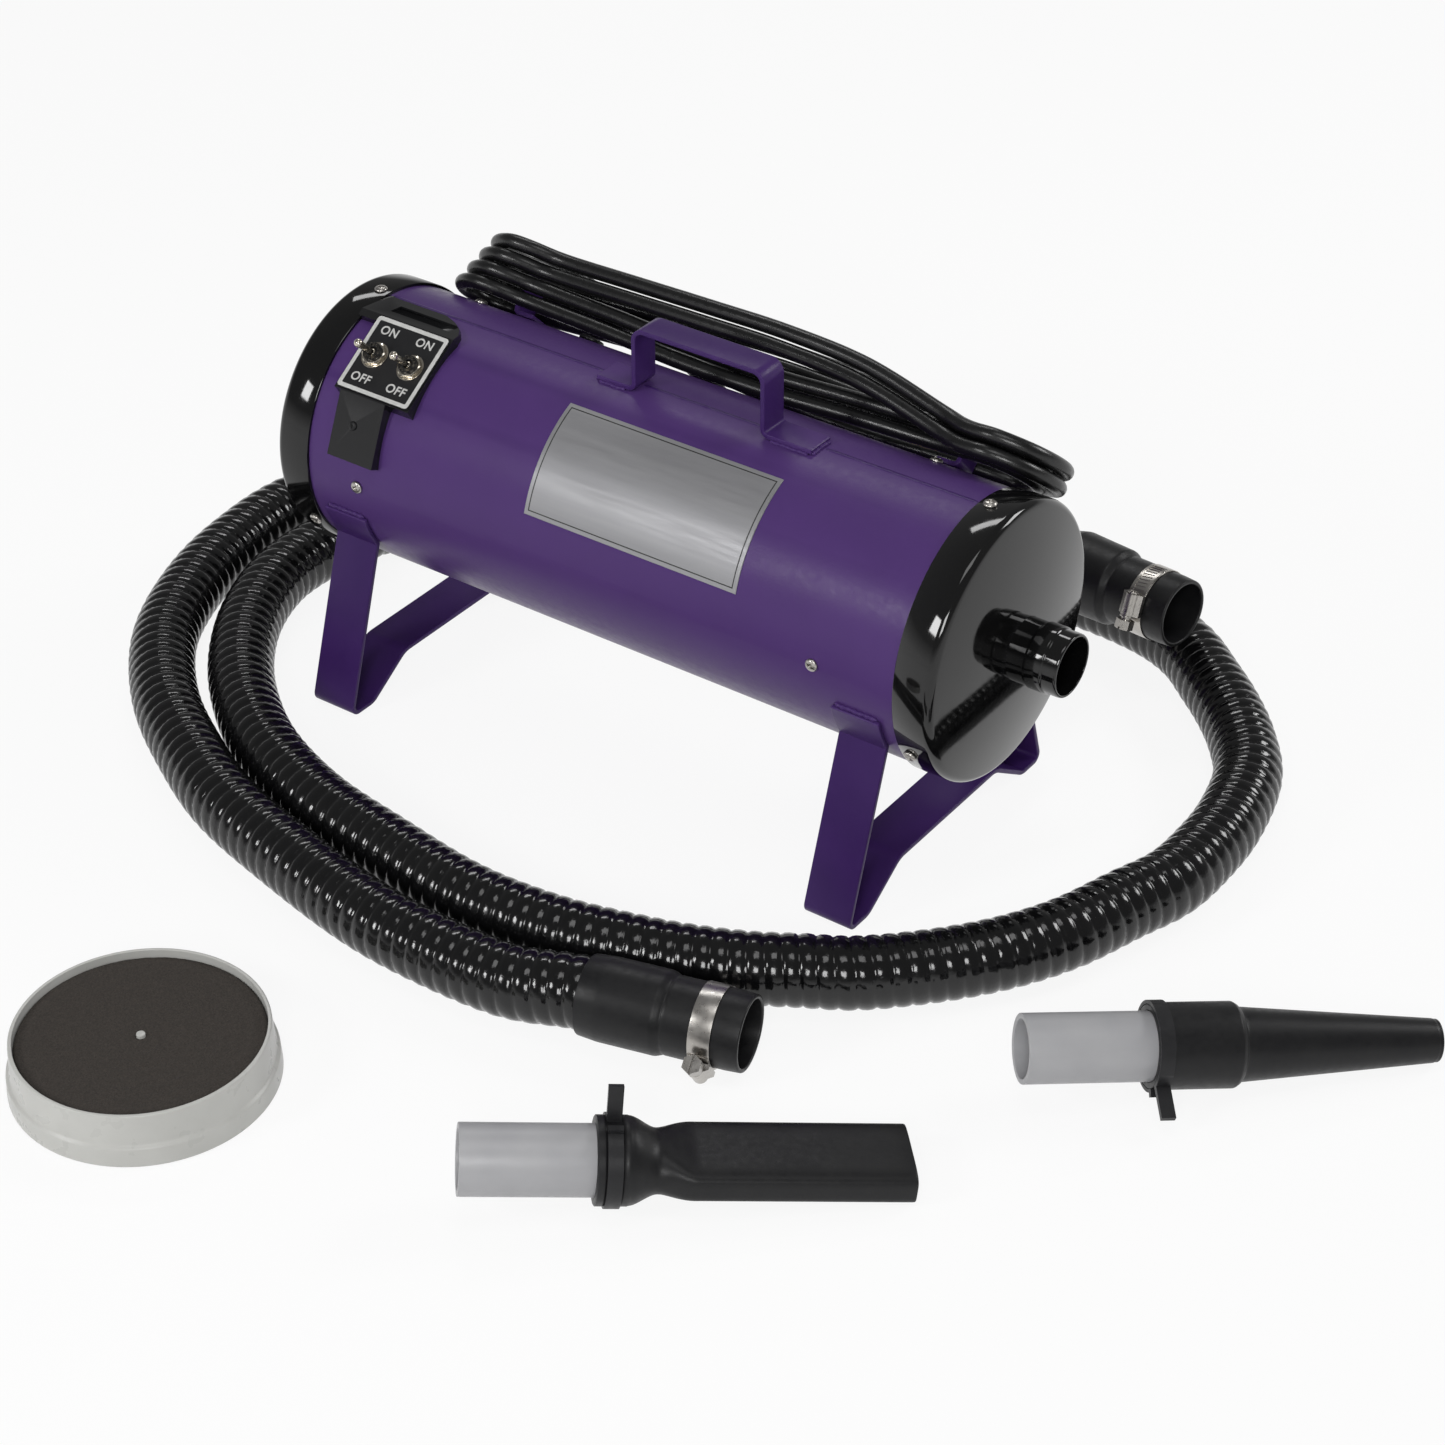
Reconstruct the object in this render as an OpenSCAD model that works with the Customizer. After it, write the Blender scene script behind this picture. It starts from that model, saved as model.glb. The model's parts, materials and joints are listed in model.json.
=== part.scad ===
// Hot-air blower dryer kit: a steel tube with a motor and a heater inside, on two strap
// stands, with its ribbed hose, two nozzles, its intake filter and its coiled mains lead.
// Millimetres, +Z up. The blower's axis runs along X and the outlet faces +X. The origin is
// on the ground, in the middle of the kit's rigid pieces.

/* [Shell] */
// Outside diameter of the steel tube
shell_od = 165.1; // [150:0.1:180]
// Wall of the steel tube
shell_wall = 1.6; // [1:0.1:3]
// Length of tube that shows between the two end caps
shell_show = 424; // [400:1:480]
// Height of the tube's underside above the ground
shell_lift = 73; // [60:1:100]

/* [End caps] */
// Length of tube that each cap's rim covers
cap_overlap = 16; // [14:0.5:24]
// Wall of a cap's rim
cap_rim_wall = 1.85; // [1.2:0.05:3]
// Depth of a cap past the end of the tube
cap_depth = 16.5; // [12:0.5:30]
// Wall of a cap's shoulder and face
cap_wall = 2.5; // [1.5:0.1:4]
// Radial width of a cap's round shoulder
cap_shoulder = 14; // [8:0.5:24]
// Diameter of the intake grille
grille_d = 132; // [100:1:136]
// Rings of slots in the grille
grille_rings = 5; // [3:1:6]
// Width of one slot
grille_slot = 7; // [4:0.5:8]
// Number of ribs across the grille
grille_ribs = 8; // [4:1:12]

/* [Outlet spigot] */
// Outside diameter of the outlet spigot
spigot_od = 38.1; // [30:0.1:50]
// Wall of the spigot
spigot_wall = 1.8; // [1.2:0.1:4]
// Length of spigot that stands out of the cap
spigot_out = 32.5; // [26:0.5:60]
// Width of the raised band round the spigot
spigot_band = 12; // [6:0.5:16]

/* [Stands] */
// Width of a stand's strap
stand_w = 32; // [20:1:45]
// Thickness of a stand's strap
stand_t = 3; // [2:0.25:5]
// Distance from a cap's edge to the middle of a stand
stand_inset = 25.5; // [22:0.5:40]
// Distance between the outer edges of a stand's two feet
stand_spread = 214; // [190:1:250]
// Length of the flat toe under each foot
stand_toe = 20; // [12:1:30]
// Height of the clear space under a stand's cross bar
stand_base_lift = 21; // [8:1:35]
// Length of the flat middle of the cross bar
stand_base_flat = 106; // [60:1:130]

/* [Carrying handle] */
// Distance between the outer faces of the handle's uprights
handle_span = 94; // [80:1:130]
// Place of the handle's middle along the tube
handle_x = 27; // [-40:1:60]
// Width of the handle's strap
handle_w = 20; // [14:1:32]
// Thickness of the handle's strap
handle_t = 3; // [2:0.25:5]
// Clear height under the handle
handle_clear = 39; // [30:1:60]
// Length of the handle's rear foot
handle_rear_foot = 27; // [18:1:45]
// Length of the handle's front foot
handle_front_foot = 34; // [18:1:45]

/* [Name plate] */
// Length of the plate
plate_len = 151; // [80:1:170]
// Width of the plate, measured round the tube
plate_arc = 72; // [40:1:80]
// Thickness of the plate
plate_t = 0.5; // [0.3:0.1:1]
// Place of the plate's middle along the tube
plate_x = 28; // [0:1:60]
// Angle of the plate's middle, from the far side over the top
plate_angle = 138; // [134:1:142]

/* [Switch box] */
// Length of the switch plate along the tube
switch_len = 55; // [48:1:64]
// Width of the switch plate across the tube
switch_wide = 51.6; // [44:0.2:56]
// Thickness of the switch plate
switch_t = 1.2; // [0.8:0.1:2]
// Place of the switch plate along the tube
switch_x = -169; // [-175:1:-150]
// Angle of the switch plate's face
switch_angle = 123; // [118:1:126]
// Height of the switch plate's face above the tube
switch_proud = 4.5; // [3:0.5:10]
// Distance between the two toggles
toggle_gap = 27.4; // [22:0.2:30]
// Throw of a toggle lever, from off to on
toggle_throw = 26; // [16:1:32]
// Length of a toggle lever past its pivot
toggle_len = 20; // [14:0.5:26]
// Outside diameter of a toggle's threaded bushing
toggle_bush_d = 11.9; // [10:0.1:13]

/* [Cord and hooks] */
// Diameter of the mains cord
cord_od = 9.5; // [7:0.1:9.8]
// Width of a cord hook's strap
hook_w = 20; // [14:1:24]
// Thickness of a cord hook's strap
hook_t = 3; // [2:0.25:4]
// Height of a cord hook above the tube
hook_h = 25; // [22:1:60]
// Length of a cord hook's turned end
hook_turn = 16; // [10:1:20]

/* [Motor] */
// Space between the fan case and the tube round it
fan_case_gap = 9; // [7:0.5:13]
// Length of the fan case
fan_case_len = 62; // [58:1:70]
// Space between the fans' rims and their case
fan_gap = 5; // [3:0.5:12]
// Blades on each fan
fan_blades = 8; // [5:1:12]
// Diameter of the motor's shaft
shaft_d = 8; // [6:0.5:8]
// Outside diameter of a bearing
bearing_d = 22; // [19:0.5:26]
// Width of a bearing
bearing_w = 7; // [5:0.5:8]
// Diameter of the armature
armature_d = 56; // [40:1:56]
// Length of the armature
armature_len = 40; // [30:1:44]

/* [Heater] */
// Outside diameter of the heating coil
heater_d = 109; // [80:1:120]
// Length of the heater's mica boards
heater_len = 70; // [60:1:80]
// Turns of the heating coil
heater_turns = 5; // [3:1:7]

/* [Hose] */
// Diameter over the hose's ribs
hose_od = 42; // [38:0.5:42]
// Height of a rib
hose_rib = 1.8; // [1:0.1:2.5]
// Wall of the hose between two ribs
hose_wall = 1.2; // [0.8:0.1:2]
// Ribs on the hose
hose_ribs = 196; // [60:1:200]

/* [Hose cuffs] */
// Length of a cuff
cuff_len = 95; // [90:1:110]
// Diameter of the nozzle cuff's wide end
nozzle_cuff_od = 49; // [48:0.5:52]
// Diameter of the machine cuff's wide end
machine_cuff_od = 53; // [50:0.5:54]
// Length of a cuff's wide end
cuff_wide_len = 47; // [40:1:50]
// Diameter of a cuff's neck, under the clamp
cuff_neck_d = 44.6; // [43.5:0.1:46]
// Bore of a cuff's mouth
cuff_bore = 38.5; // [38.2:0.1:39.5]
// Width of the clamp's band
clamp_w = 12.7; // [9:0.1:14]
// Thickness of the clamp's band
clamp_t = 0.7; // [0.5:0.1:1]
// Distance from the hose's end of a cuff to the middle of its clamp
clamp_at = 73; // [66:1:76]

/* [Nozzles] */
// Outside diameter of a nozzle's plastic tube
tube_od = 38.1; // [36:0.1:38.3]
// Wall of a nozzle's plastic tube
tube_wall = 3; // [2:0.1:4]
// Length of tube that stands out of a nozzle
tube_out = 70; // [40:1:100]
// Length of tube inside a nozzle
tube_in = 30; // [20:1:34]
// Outside diameter of a nozzle's collar
collar_od = 47; // [45:0.5:50]
// Length of the flat nozzle, from its collar to its mouth
flat_len = 165; // [140:1:200]
// Width of the flat nozzle
flat_w = 48; // [40:1:60]
// Height of the flat nozzle
flat_h = 19; // [14:0.5:26]
// Wall of the flat nozzle
flat_wall = 2.5; // [1.5:0.1:3]
// Slant of the flat nozzle's mouth
flat_slant = 8; // [0:1:15]
// Length of the cone nozzle, from its collar to its tip
cone_len = 155.5; // [120:0.5:200]
// Length of the cone nozzle's collar
cone_collar = 41; // [36:1:50]
// Diameter at the cone's root
cone_root_d = 40.6; // [36:0.1:44]
// Diameter at the cone's tip
cone_tip_d = 23.7; // [16:0.1:30]
// Wall of the cone at its tip
cone_wall = 2; // [1.2:0.1:3]
// Outside diameter of a snap clip
clip_od = 49.6; // [49:0.1:53]
// Width of a snap clip
clip_w = 8; // [5:0.5:10]
// Length of a snap clip's tab
clip_tab = 18; // [10:1:24]

/* [Intake filter] */
// Diameter of the pan's foot
pan_d = 148; // [120:1:160]
// Height of the pan
pan_h = 32.4; // [24:0.2:45]
// Wall of the pan
pan_wall = 2; // [1.2:0.1:3]
// Height of the foam disc's top above the ground
foam_top = 28.5; // [18:0.5:30]
// Diameter of the pan's middle peg
peg_d = 5; // [3:0.5:10]

/* [Fits] */
// Gap between pieces that are fixed together
seat_gap = 0.1; // [0.05:0.05:0.2]
// Gap round a shaft or pivot, on the radius
run_gap = 0.05; // [0.02:0.01:0.1]
// Gap between soft pieces and what they lie on
soft_gap = 0.3; // [0.2:0.1:0.4]

/* [Hidden] */
$fn = 96;

// Colours
purple = [0.27, 0.13, 0.47];
gloss_black = [0.05, 0.05, 0.05];
satin_black = [0.12, 0.12, 0.12];
zinc = [0.78, 0.79, 0.8];
nickel = [0.8, 0.77, 0.7];
plate_silver = [0.7, 0.71, 0.73];
tube_grey = [0.6, 0.6, 0.62];
copper = [0.72, 0.45, 0.2];
iron = [0.35, 0.36, 0.38];
brass = [0.75, 0.6, 0.3];
pan_white = [0.9, 0.92, 0.94];
foam_brown = [0.2, 0.17, 0.15];
mica = [0.75, 0.68, 0.55];

// The tube and its axis
shell_r = shell_od / 2;
shell_bore_r = shell_r - shell_wall;
axis_h = shell_lift + shell_r;
cap_edge = shell_show / 2;
shell_end = cap_edge + cap_overlap;
cap_face = shell_end + cap_depth;
face_dome = 1;
spigot_mouth = cap_face + spigot_out;

// Screws: three round each cap, and three round each frame inside the tube
cap_screw_angles = [90, 210, 330];
cap_screw_x = cap_edge + cap_overlap * 0.42;
mount_screw_angles = [60, 180, 300];
motor_mount_x = -174;
heater_mount_x = 158;
screw_r = 2;
screw_hole_r = 2.15;
screw_head_r = 4;
screw_head_h = 2.4;
screw_len = 7;

// Stand: the strap's path across the tube
stand_x = cap_edge - stand_inset;
stand_tab_from = -164;
stand_tab_to = -147;

// Switch box, in the frame of the switch plate's face
switch_face = shell_r + switch_proud;
switch_down = 1.8;
switch_margin = 1;
box_skin = 2;
wedge_len = 24;
lower_box_angle = 156.5;
lower_box_proud = 5.5;
lower_box_x = -174.7;
lower_box_len = 34.5;
lower_box_wide = 34;
housing_screw_at = [-2.5, 4.6, 0];
toggle_nut_flat = 14.3;
toggle_washer_d = 17.7;
toggle_pivot = 3;
toggle_top = 5.2;
toggle_ball_r = 2.75;

// Cord hooks and the hank, in a frame along the hooks' own angle
hook_angle = 45;
rear_hook_x = -157;
front_hook_x = 165;
gland_x = -103;
gland_r = 8;
gland_turn_n = shell_r + 9.5;
gland_sleeve = 33;
cord_r = cord_od / 2;
layer_rise = cord_od + 0.8;
hank_layers = 4;
cord_sides = 6;
plug_angle = 8;
plug_x = 60;
plug_len = 38;
plug_w = 27;
plug_thick = 20;
blade_len = 18;

// Motor, from its fan case forward; its ring clears the toggles
fan_case_d = 2 * (shell_bore_r - fan_case_gap);
fan_d = fan_case_d - 2 * fan_gap;
frame_band_len = 20;
motor_band_len = 39;
bulkhead_x = motor_mount_x - frame_band_len / 2 + motor_band_len;
ring_t = 2;
gasket_t = 4;
fan_x = bulkhead_x + gasket_t;
case_t = 1;
inlet_r = 24;
fan_thick = 16;
fan_1 = fan_x + 5;
fan_2 = fan_x + 38;
frame_x = fan_x + fan_case_len;
frame_plate = 4;
cage_r = 51;
cage_wall = 4;
field_r = cage_r - cage_wall;
field_x = frame_x + 14;
commutator_x = field_x + armature_len + 6;
commutator_r = 13;
commutator_len = 14;
cage_gap = 4;
end_plate_x = commutator_x + commutator_len + cage_gap;
cage_len = end_plate_x - frame_x;
bearing_in = 2;
brush_x = commutator_x + commutator_len / 2;
brush_w = 6;
shaft_front = end_plate_x + 12;

// Heater, held by its ring
heater_plate_x = heater_mount_x - 8;
coil_wire_r = 2.1;
coil_r = heater_d / 2 - coil_wire_r;
board_t = 1.2;

// Hose route along the ground, from the nozzle cuff to the machine cuff
hose_r = hose_od / 2;
hose_sides = 8;
nozzle_cuff_mouth = [224, -234.5, nozzle_cuff_od / 2 + 0.1];
nozzle_cuff_yaw = 14.8;
machine_cuff_mouth = [238.4, 211.2, 64.7];
machine_cuff_yaw = -8.4;
machine_cuff_pitch = 3;
hose_floor = 21.3;
hose_plan = [
    [30, -275], [-23, -271], [-93, -256], [-155, -238.5], [-206, -213], [-253, -183], [-293, -145],
    [-318, -108], [-338, -59], [-347, -14], [-349, 30], [-338, 75], [-315, 115], [-283, 150], [-240, 180],
    [-185, 205], [-120, 224], [-50, 236], [20, 244], [90, 250], [150, 253.5], [198, 249], [232, 236],
    [260, 214], [284, 193], [307, 168], [328, 136], [340, 91], [343, 53], [341, 18], [330, -15],
    [318, -52], [303, -82], [285, -108], [262, -134], [238, -156], [213, -171], [188, -186], [160, -199],
    [129, -210], [78, -223], [19, -227], [-49, -218], [-106, -208], [-159, -189], [-201, -164],
    [-242, -128], [-275, -83], [-294, -35], [-296, 8], [-288, 48], [-270, 88], [-240, 124], [-196, 152],
    [-144, 171], [-80, 184]
];
hose_route = concat(
    [[86, -272, 21.6]],
    [for (p = hose_plan) [p.x, p.y, hose_floor]],
    [[-20, 194, 22.5], [20, 201.5, 33.5], [54, 213, 48], [86, 223, 55], [114, 228, 57.9]]
);

// Nozzles: where their collars start, which way they point and how they lean to the ground
flat_at = [216.7, -364.2];
flat_yaw = 41;
flat_clip_at = 5;
flat_corner = flat_h * 0.32;
flat_reach = flat_len + (flat_w / 2 - flat_corner) * tan(flat_slant);
flat_lean = atan((clip_od / 2 - flat_h / 2) / (flat_reach - flat_clip_at - clip_w));
flat_z = flat_reach * sin(flat_lean) + flat_h / 2 * cos(flat_lean);
flat_clip_angle = 89;
cone_at = [410.8, -117.4];
cone_yaw = 43.9;
collar_edge = 2;
cone_lean = atan((collar_od - cone_tip_d) / 2 / (cone_len - cone_collar + collar_edge));
cone_z = cone_len * sin(cone_lean) + cone_tip_d / 2 * cos(cone_lean);
cone_clip_angle = 215;
clip_wall = 2;

// Filter
filter_at = [-39.3, -428.5];
pan_ledge_h = pan_h * 0.42;

// Middle of the kit's rigid pieces, seen from above
kit_left = -cap_face - face_dome;
cone_way_x = cos(cone_lean) * cos(cone_yaw);
kit_right = cone_at.x + cone_len * cone_way_x + cone_tip_d / 2 * sqrt(1 - pow(cone_way_x, 2));
kit_near = filter_at.y - pan_d / 2;
kit_far = stand_spread / 2;
kit_middle = [(kit_left + kit_right) / 2, (kit_near + kit_far) / 2, 0];

// ---- Frames that pieces are placed in ----

// Puts the blower's own frame, which is under the tube's middle, into the kit's frame
module in_kit() {
    translate(-kit_middle)
        children();
}

// Local Z along the blower's axis, starting at x
module along_axis(x) {
    translate([x, 0, axis_h])
        rotate([0, 90, 0])
            children();
}

// Local Z straight out of the tube at a place and an angle, local X along the axis
module radial(x, angle, r) {
    translate([x, 0, axis_h])
        rotate([angle, 0, 0])
            translate([0, r, 0])
                rotate([-90, 0, 0])
                    children();
}

module on_switch_face() {
    radial(switch_x, switch_angle, switch_face)
        children();
}

// Local X down a nozzle's axis, local Y level, starting at its collar
module nozzle_frame(at, z, yaw, lean) {
    translate([at.x, at.y, z])
        rotate([0, lean, yaw])
            children();
}

// Local Z down a cuff's axis, from the hose's end to its mouth
module cuff_frame(mouth, yaw, pitch) {
    translate(mouth)
        rotate([0, 90 - pitch, yaw])
            translate([0, 0, -cuff_len])
                children();
}

// ---- Shapes that repeat ----

// A piece of a round band about the blower's axis
module band(x, len, r, t, from, to) {
    along_axis(x)
        rotate([0, 0, 90 + from])
            rotate_extrude(angle = to - from)
                translate([r, 0])
                    square([t, len]);
}

// A full round band or disc about the local Z axis
module ring(r_in, r_out, len) {
    difference() {
        cylinder(r = r_out, h = len);
        translate([0, 0, -1])
            cylinder(r = r_in, h = len + 2);
    }
}

// Screw with a low domed head, whose seat is at Z = 0
module pan_screw(shank_r, len, head_r, head_h) {
    translate([0, 0, -len])
        cylinder(r = shank_r, h = len + 0.2);
    rotate_extrude()
        polygon([
            [0, 0], [head_r, 0], [head_r, head_h * 0.35], [head_r * 0.85, head_h * 0.75],
            [head_r * 0.5, head_h], [0, head_h]
        ]);
}

function unit(v) = v / norm(v);

// Points of the arc that rounds corner b between a and c
function fillet(a, b, c, r, steps) =
    let (
        u = unit(a - b),
        v = unit(c - b),
        half = acos(u * v) / 2,
        middle = b + unit(u + v) * r / sin(half),
        from = b + u * r / tan(half) - middle,
        to = b + v * r / tan(half) - middle,
        start = atan2(from.y, from.x),
        turn = atan2(to.y, to.x) - start,
        short = turn > 180 ? turn - 360 : turn < -180 ? turn + 360 : turn
    )
    [for (i = [0:steps]) middle + r * [cos(start + short * i / steps), sin(start + short * i / steps)]];

// A path whose inner corners are rounded, each with its own radius
function rounded(path, radii, steps = 5) = [
    path[0],
    for (i = [1:len(path) - 2]) each fillet(path[i - 1], path[i], path[i + 1], radii[i - 1], steps),
    path[len(path) - 1]
];

// A path moved sideways by d
function beside(path, d) = [
    for (i = [0:len(path) - 1])
        let (
            before = unit(path[i] - path[max(i - 1, 0)] + (i == 0 ? path[1] - path[0] : [0, 0])),
            after = i == len(path) - 1 ? before : unit(path[i + 1] - path[i]),
            side = unit([-(before + after).y, (before + after).x])
        )
        path[i] + side * d / (side * [-after.y, after.x])
];

function backward(list) = [for (i = [len(list) - 1:-1:0]) list[i]];

// A strap of thickness t that follows a flat path
module strap(path, t, w) {
    linear_extrude(w)
        polygon(concat(beside(path, t / 2), backward(beside(path, -t / 2))));
}

// ---- Smooth routes and tubes ----

// Point at share s between b and c on a smooth curve through a, b, c and d
function smooth(a, b, c, d, s) =
    0.5 * (2 * b + (c - a) * s + (2 * a - 5 * b + 4 * c - d) * s * s
        + (3 * b - a - 3 * c + d) * s * s * s);

function smooth_route(p, steps) = [
    for (i = [1:len(p) - 3])
        for (j = [0:steps - 1]) smooth(p[i - 1], p[i], p[i + 1], p[i + 2], j / steps),
    p[len(p) - 2]
];

// Distance along a route up to each of its points
function run_lengths(p, i = 0, sum = 0, out = []) =
    i == len(p)
        ? out
        : let (here = sum + (i == 0 ? 0 : norm(p[i] - p[i - 1])))
            run_lengths(p, i + 1, here, concat(out, [here]));

// Index of the leg that holds distance d
function leg_at(runs, d, low, high) =
    high - low <= 1
        ? low
        : let (mid = floor((low + high) / 2))
            runs[mid] <= d ? leg_at(runs, d, mid, high) : leg_at(runs, d, low, mid);

function point_at(p, runs, d) =
    let (i = leg_at(runs, d, 0, len(p) - 1))
    p[i] + (p[i + 1] - p[i]) * (d - runs[i]) / (runs[i + 1] - runs[i]);

function way_at(p, runs, d) =
    let (last = runs[len(runs) - 1])
    unit(point_at(p, runs, min(d + 1, last)) - point_at(p, runs, max(d - 1, 0)));

// One ring of points round a route, square to it, with the given up direction as its guide
function ring_at(middle, way, up, r, sides) =
    let (
        side = unit(cross(way, up)),
        top = cross(side, way)
    )
    [for (k = [0:sides - 1]) middle + r * (cos(360 * (k + 0.5) / sides) * side + sin(360 * (k + 0.5) / sides) * top)];

// Triangles between neighbouring rings, from ring a to ring b
function skin_faces(a, b, sides) = [
    for (i = [a:b - 1])
        for (k = [0:sides - 1])
            let (
                p = i * sides + k,
                q = i * sides + (k + 1) % sides
            )
            each [[p, q, q + sides], [p, q + sides, p + sides]]
];

function fan_faces(first, sides) = [for (k = [1:sides - 2]) [first, first + k + 1, first + k]];

// A solid tube through rings of points
module solid_tube(rings, sides) {
    last = len(rings) - 1;
    polyhedron(
        points = [for (r = rings) each r],
        faces = [
            each skin_faces(0, last, sides),
            each fan_faces(0, sides),
            for (f = fan_faces(last * sides, sides)) [f[0], f[2], f[1]]
        ]
    );
}

// A hollow tube: outer rings, then inner rings from the far end back
module hollow_tube(outer, inner, sides) {
    loop = concat(outer, backward(inner), [outer[0]]);
    count = len(outer) + len(inner);
    polyhedron(
        points = [for (i = [0:count - 1]) each loop[i]],
        faces = [
            each skin_faces(0, count - 1, sides),
            for (k = [0:sides - 1])
                let (
                    p = (count - 1) * sides + k,
                    q = (count - 1) * sides + (k + 1) % sides
                )
                each [[p, q, (k + 1) % sides], [p, (k + 1) % sides, k]]
        ]
    );
}

// ---- Shell, caps and outlet ----

module shell() {
    color(purple) in_kit()
        difference() {
            along_axis(-shell_end)
                ring(shell_bore_r, shell_r, 2 * shell_end);
            for (a = cap_screw_angles) {
                screw_hole(cap_screw_x, a);
                screw_hole(-cap_screw_x, a);
            }
            for (a = mount_screw_angles) {
                screw_hole(motor_mount_x, a);
                screw_hole(heater_mount_x, a);
            }
            radial(gland_x, hook_angle, shell_r - 6)
                cylinder(r = gland_r - 1.5 + seat_gap, h = 12);
            on_switch_face()
                translate([-21, -21, -30])
                    cube([42, 40, 30]);
        }
}

module screw_hole(x, angle) {
    radial(x, angle, shell_r - 6)
        cylinder(r = screw_hole_r, h = 12);
}

// Half section of a cap without its openings, as (radius, distance along the axis)
function cap_section() =
    let (
        rim_in = shell_r + seat_gap,
        rim_out = rim_in + cap_rim_wall,
        bead = 1,
        core = rim_out - bead - cap_shoulder,
        rise = cap_depth - bead,
        steps = 8
    )
    concat(
        [[rim_in, cap_edge], [rim_out, cap_edge], [rim_out, shell_end]],
        [for (i = [0:steps]) [
            core + cap_shoulder * cos(90 * i / steps),
            shell_end + bead + rise * sin(90 * i / steps)
        ]],
        [[0, cap_face + face_dome], [0, cap_face + face_dome - cap_wall]],
        [for (i = [steps:-1:0]) [
            core + (cap_shoulder - cap_wall) * cos(90 * i / steps),
            shell_end + bead + (rise - cap_wall) * sin(90 * i / steps)
        ]],
        [[core + cap_shoulder - cap_wall, shell_end + seat_gap], [rim_in, shell_end + seat_gap]]
    );

module cap_blank() {
    difference() {
        rotate_extrude()
            polygon(cap_section());
        for (a = cap_screw_angles)
            rotate([0, 0, 90 + a])
                translate([shell_r - 3, 0, cap_screw_x])
                    rotate([0, 90, 0])
                        cylinder(r = screw_hole_r, h = 12);
    }
}

module front_cap() {
    color(gloss_black) in_kit()
        along_axis(0)
            difference() {
                cap_blank();
                translate([0, 0, shell_end])
                    cylinder(d = spigot_od + 2 * seat_gap, h = cap_depth + 10);
            }
}

module outlet_spigot() {
    inside = cap_face - cap_wall - 3.2;
    band_h = 0.8;
    out_r = spigot_od / 2;
    lip = 1.2;
    band_from = spigot_mouth - 9 - spigot_band;
    color(gloss_black) in_kit()
        along_axis(0)
            rotate_extrude()
                polygon([
                    [out_r - spigot_wall, inside], [out_r + 9, inside],
                    [out_r + 9, inside + 2.5], [out_r, inside + 2.5],
                    [out_r, band_from], [out_r + band_h, band_from + 1],
                    [out_r + band_h, band_from + spigot_band - 1],
                    [out_r, band_from + spigot_band], [out_r, spigot_mouth - lip],
                    [out_r - 0.5, spigot_mouth], [out_r - spigot_wall, spigot_mouth]
                ]);
}

// The intake grille is cut in the rear cap's face: rings of slots between straight ribs
module rear_cap() {
    pitch = (grille_d / 2 - 16) / grille_rings;
    rib_w = 5;
    color(gloss_black) in_kit()
        along_axis(0)
            mirror([0, 0, 1])
                difference() {
                    cap_blank();
                    difference() {
                        for (i = [0:grille_rings - 1])
                            translate([0, 0, shell_end])
                                ring(16 + i * pitch, 16 + i * pitch + grille_slot, cap_depth + 10);
                        for (i = [0:grille_ribs / 2 - 1])
                            rotate([0, 0, 180 * i / (grille_ribs / 2) + 22.5])
                                translate([-grille_d, -rib_w / 2, shell_end - 1])
                                    cube([2 * grille_d, rib_w, cap_depth + 12]);
                    }
                }
}

module cap_screws(x) {
    color(zinc) in_kit()
        for (a = cap_screw_angles)
            radial(x, a, shell_r + seat_gap + cap_rim_wall + 0.02)
                pan_screw(screw_r, screw_len, screw_head_r, screw_head_h);
}

module front_cap_screws() {
    cap_screws(cap_screw_x);
}

module rear_cap_screws() {
    cap_screws(-cap_screw_x);
}

module mount_screws(x) {
    color(zinc) in_kit()
        for (a = mount_screw_angles)
            radial(x, a, shell_r + 0.02)
                pan_screw(screw_r, screw_len, screw_head_r, screw_head_h);
}

module motor_mount_screws() {
    mount_screws(motor_mount_x);
}

module heater_mount_screws() {
    mount_screws(heater_mount_x);
}

// ---- Stands, handle, name plate and hooks ----

// The strap's middle line from the near tab to the middle of the cross bar
function stand_half() =
    let (
        mid_r = shell_r + seat_gap + stand_t / 2,
        steps = 4,
        low = stand_t / 2,
        foot = stand_spread / 2 - stand_t / 2,
        rise_from = foot - stand_toe,
        bar = stand_base_lift + stand_t / 2
    )
    concat(
        [for (i = [0:steps])
            let (a = stand_tab_from + (stand_tab_to - stand_tab_from) * i / steps)
            [mid_r * cos(a), axis_h + mid_r * sin(a)]],
        [
            each fillet(
                [mid_r * cos(stand_tab_to), axis_h + mid_r * sin(stand_tab_to)],
                [-foot, low],
                [-rise_from, low],
                4.5,
                5
            ),
            each fillet([-foot, low], [-rise_from, low], [-stand_base_flat / 2, bar], 12, 4),
            each fillet([-rise_from, low], [-stand_base_flat / 2, bar], [0, bar], 16, 4)
        ]
    );

module stand(x) {
    half = stand_half();
    far = [for (p = backward(half)) [-p.x, p.y]];
    color(purple) in_kit()
        translate([x - stand_w / 2, 0, 0])
            rotate([90, 0, 90])
                strap(concat(half, far), stand_t, stand_w);
}

module front_stand() {
    stand(stand_x);
}

module rear_stand() {
    stand(-stand_x);
}

module carry_handle() {
    low = axis_h + shell_r + seat_gap + handle_t / 2;
    high = axis_h + shell_r + handle_clear + handle_t / 2;
    left = handle_x - handle_span / 2 + handle_t / 2;
    right = handle_x + handle_span / 2 - handle_t / 2;
    path = [
        [left - handle_rear_foot, low], [left, low], [left, high],
        [right, high], [right, low], [right + handle_front_foot, low]
    ];
    color(purple) in_kit()
        translate([0, handle_w / 2, 0])
            rotate([90, 0, 0])
                strap(rounded(path, [4, 7, 7, 4]), handle_t, handle_w);
}

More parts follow.
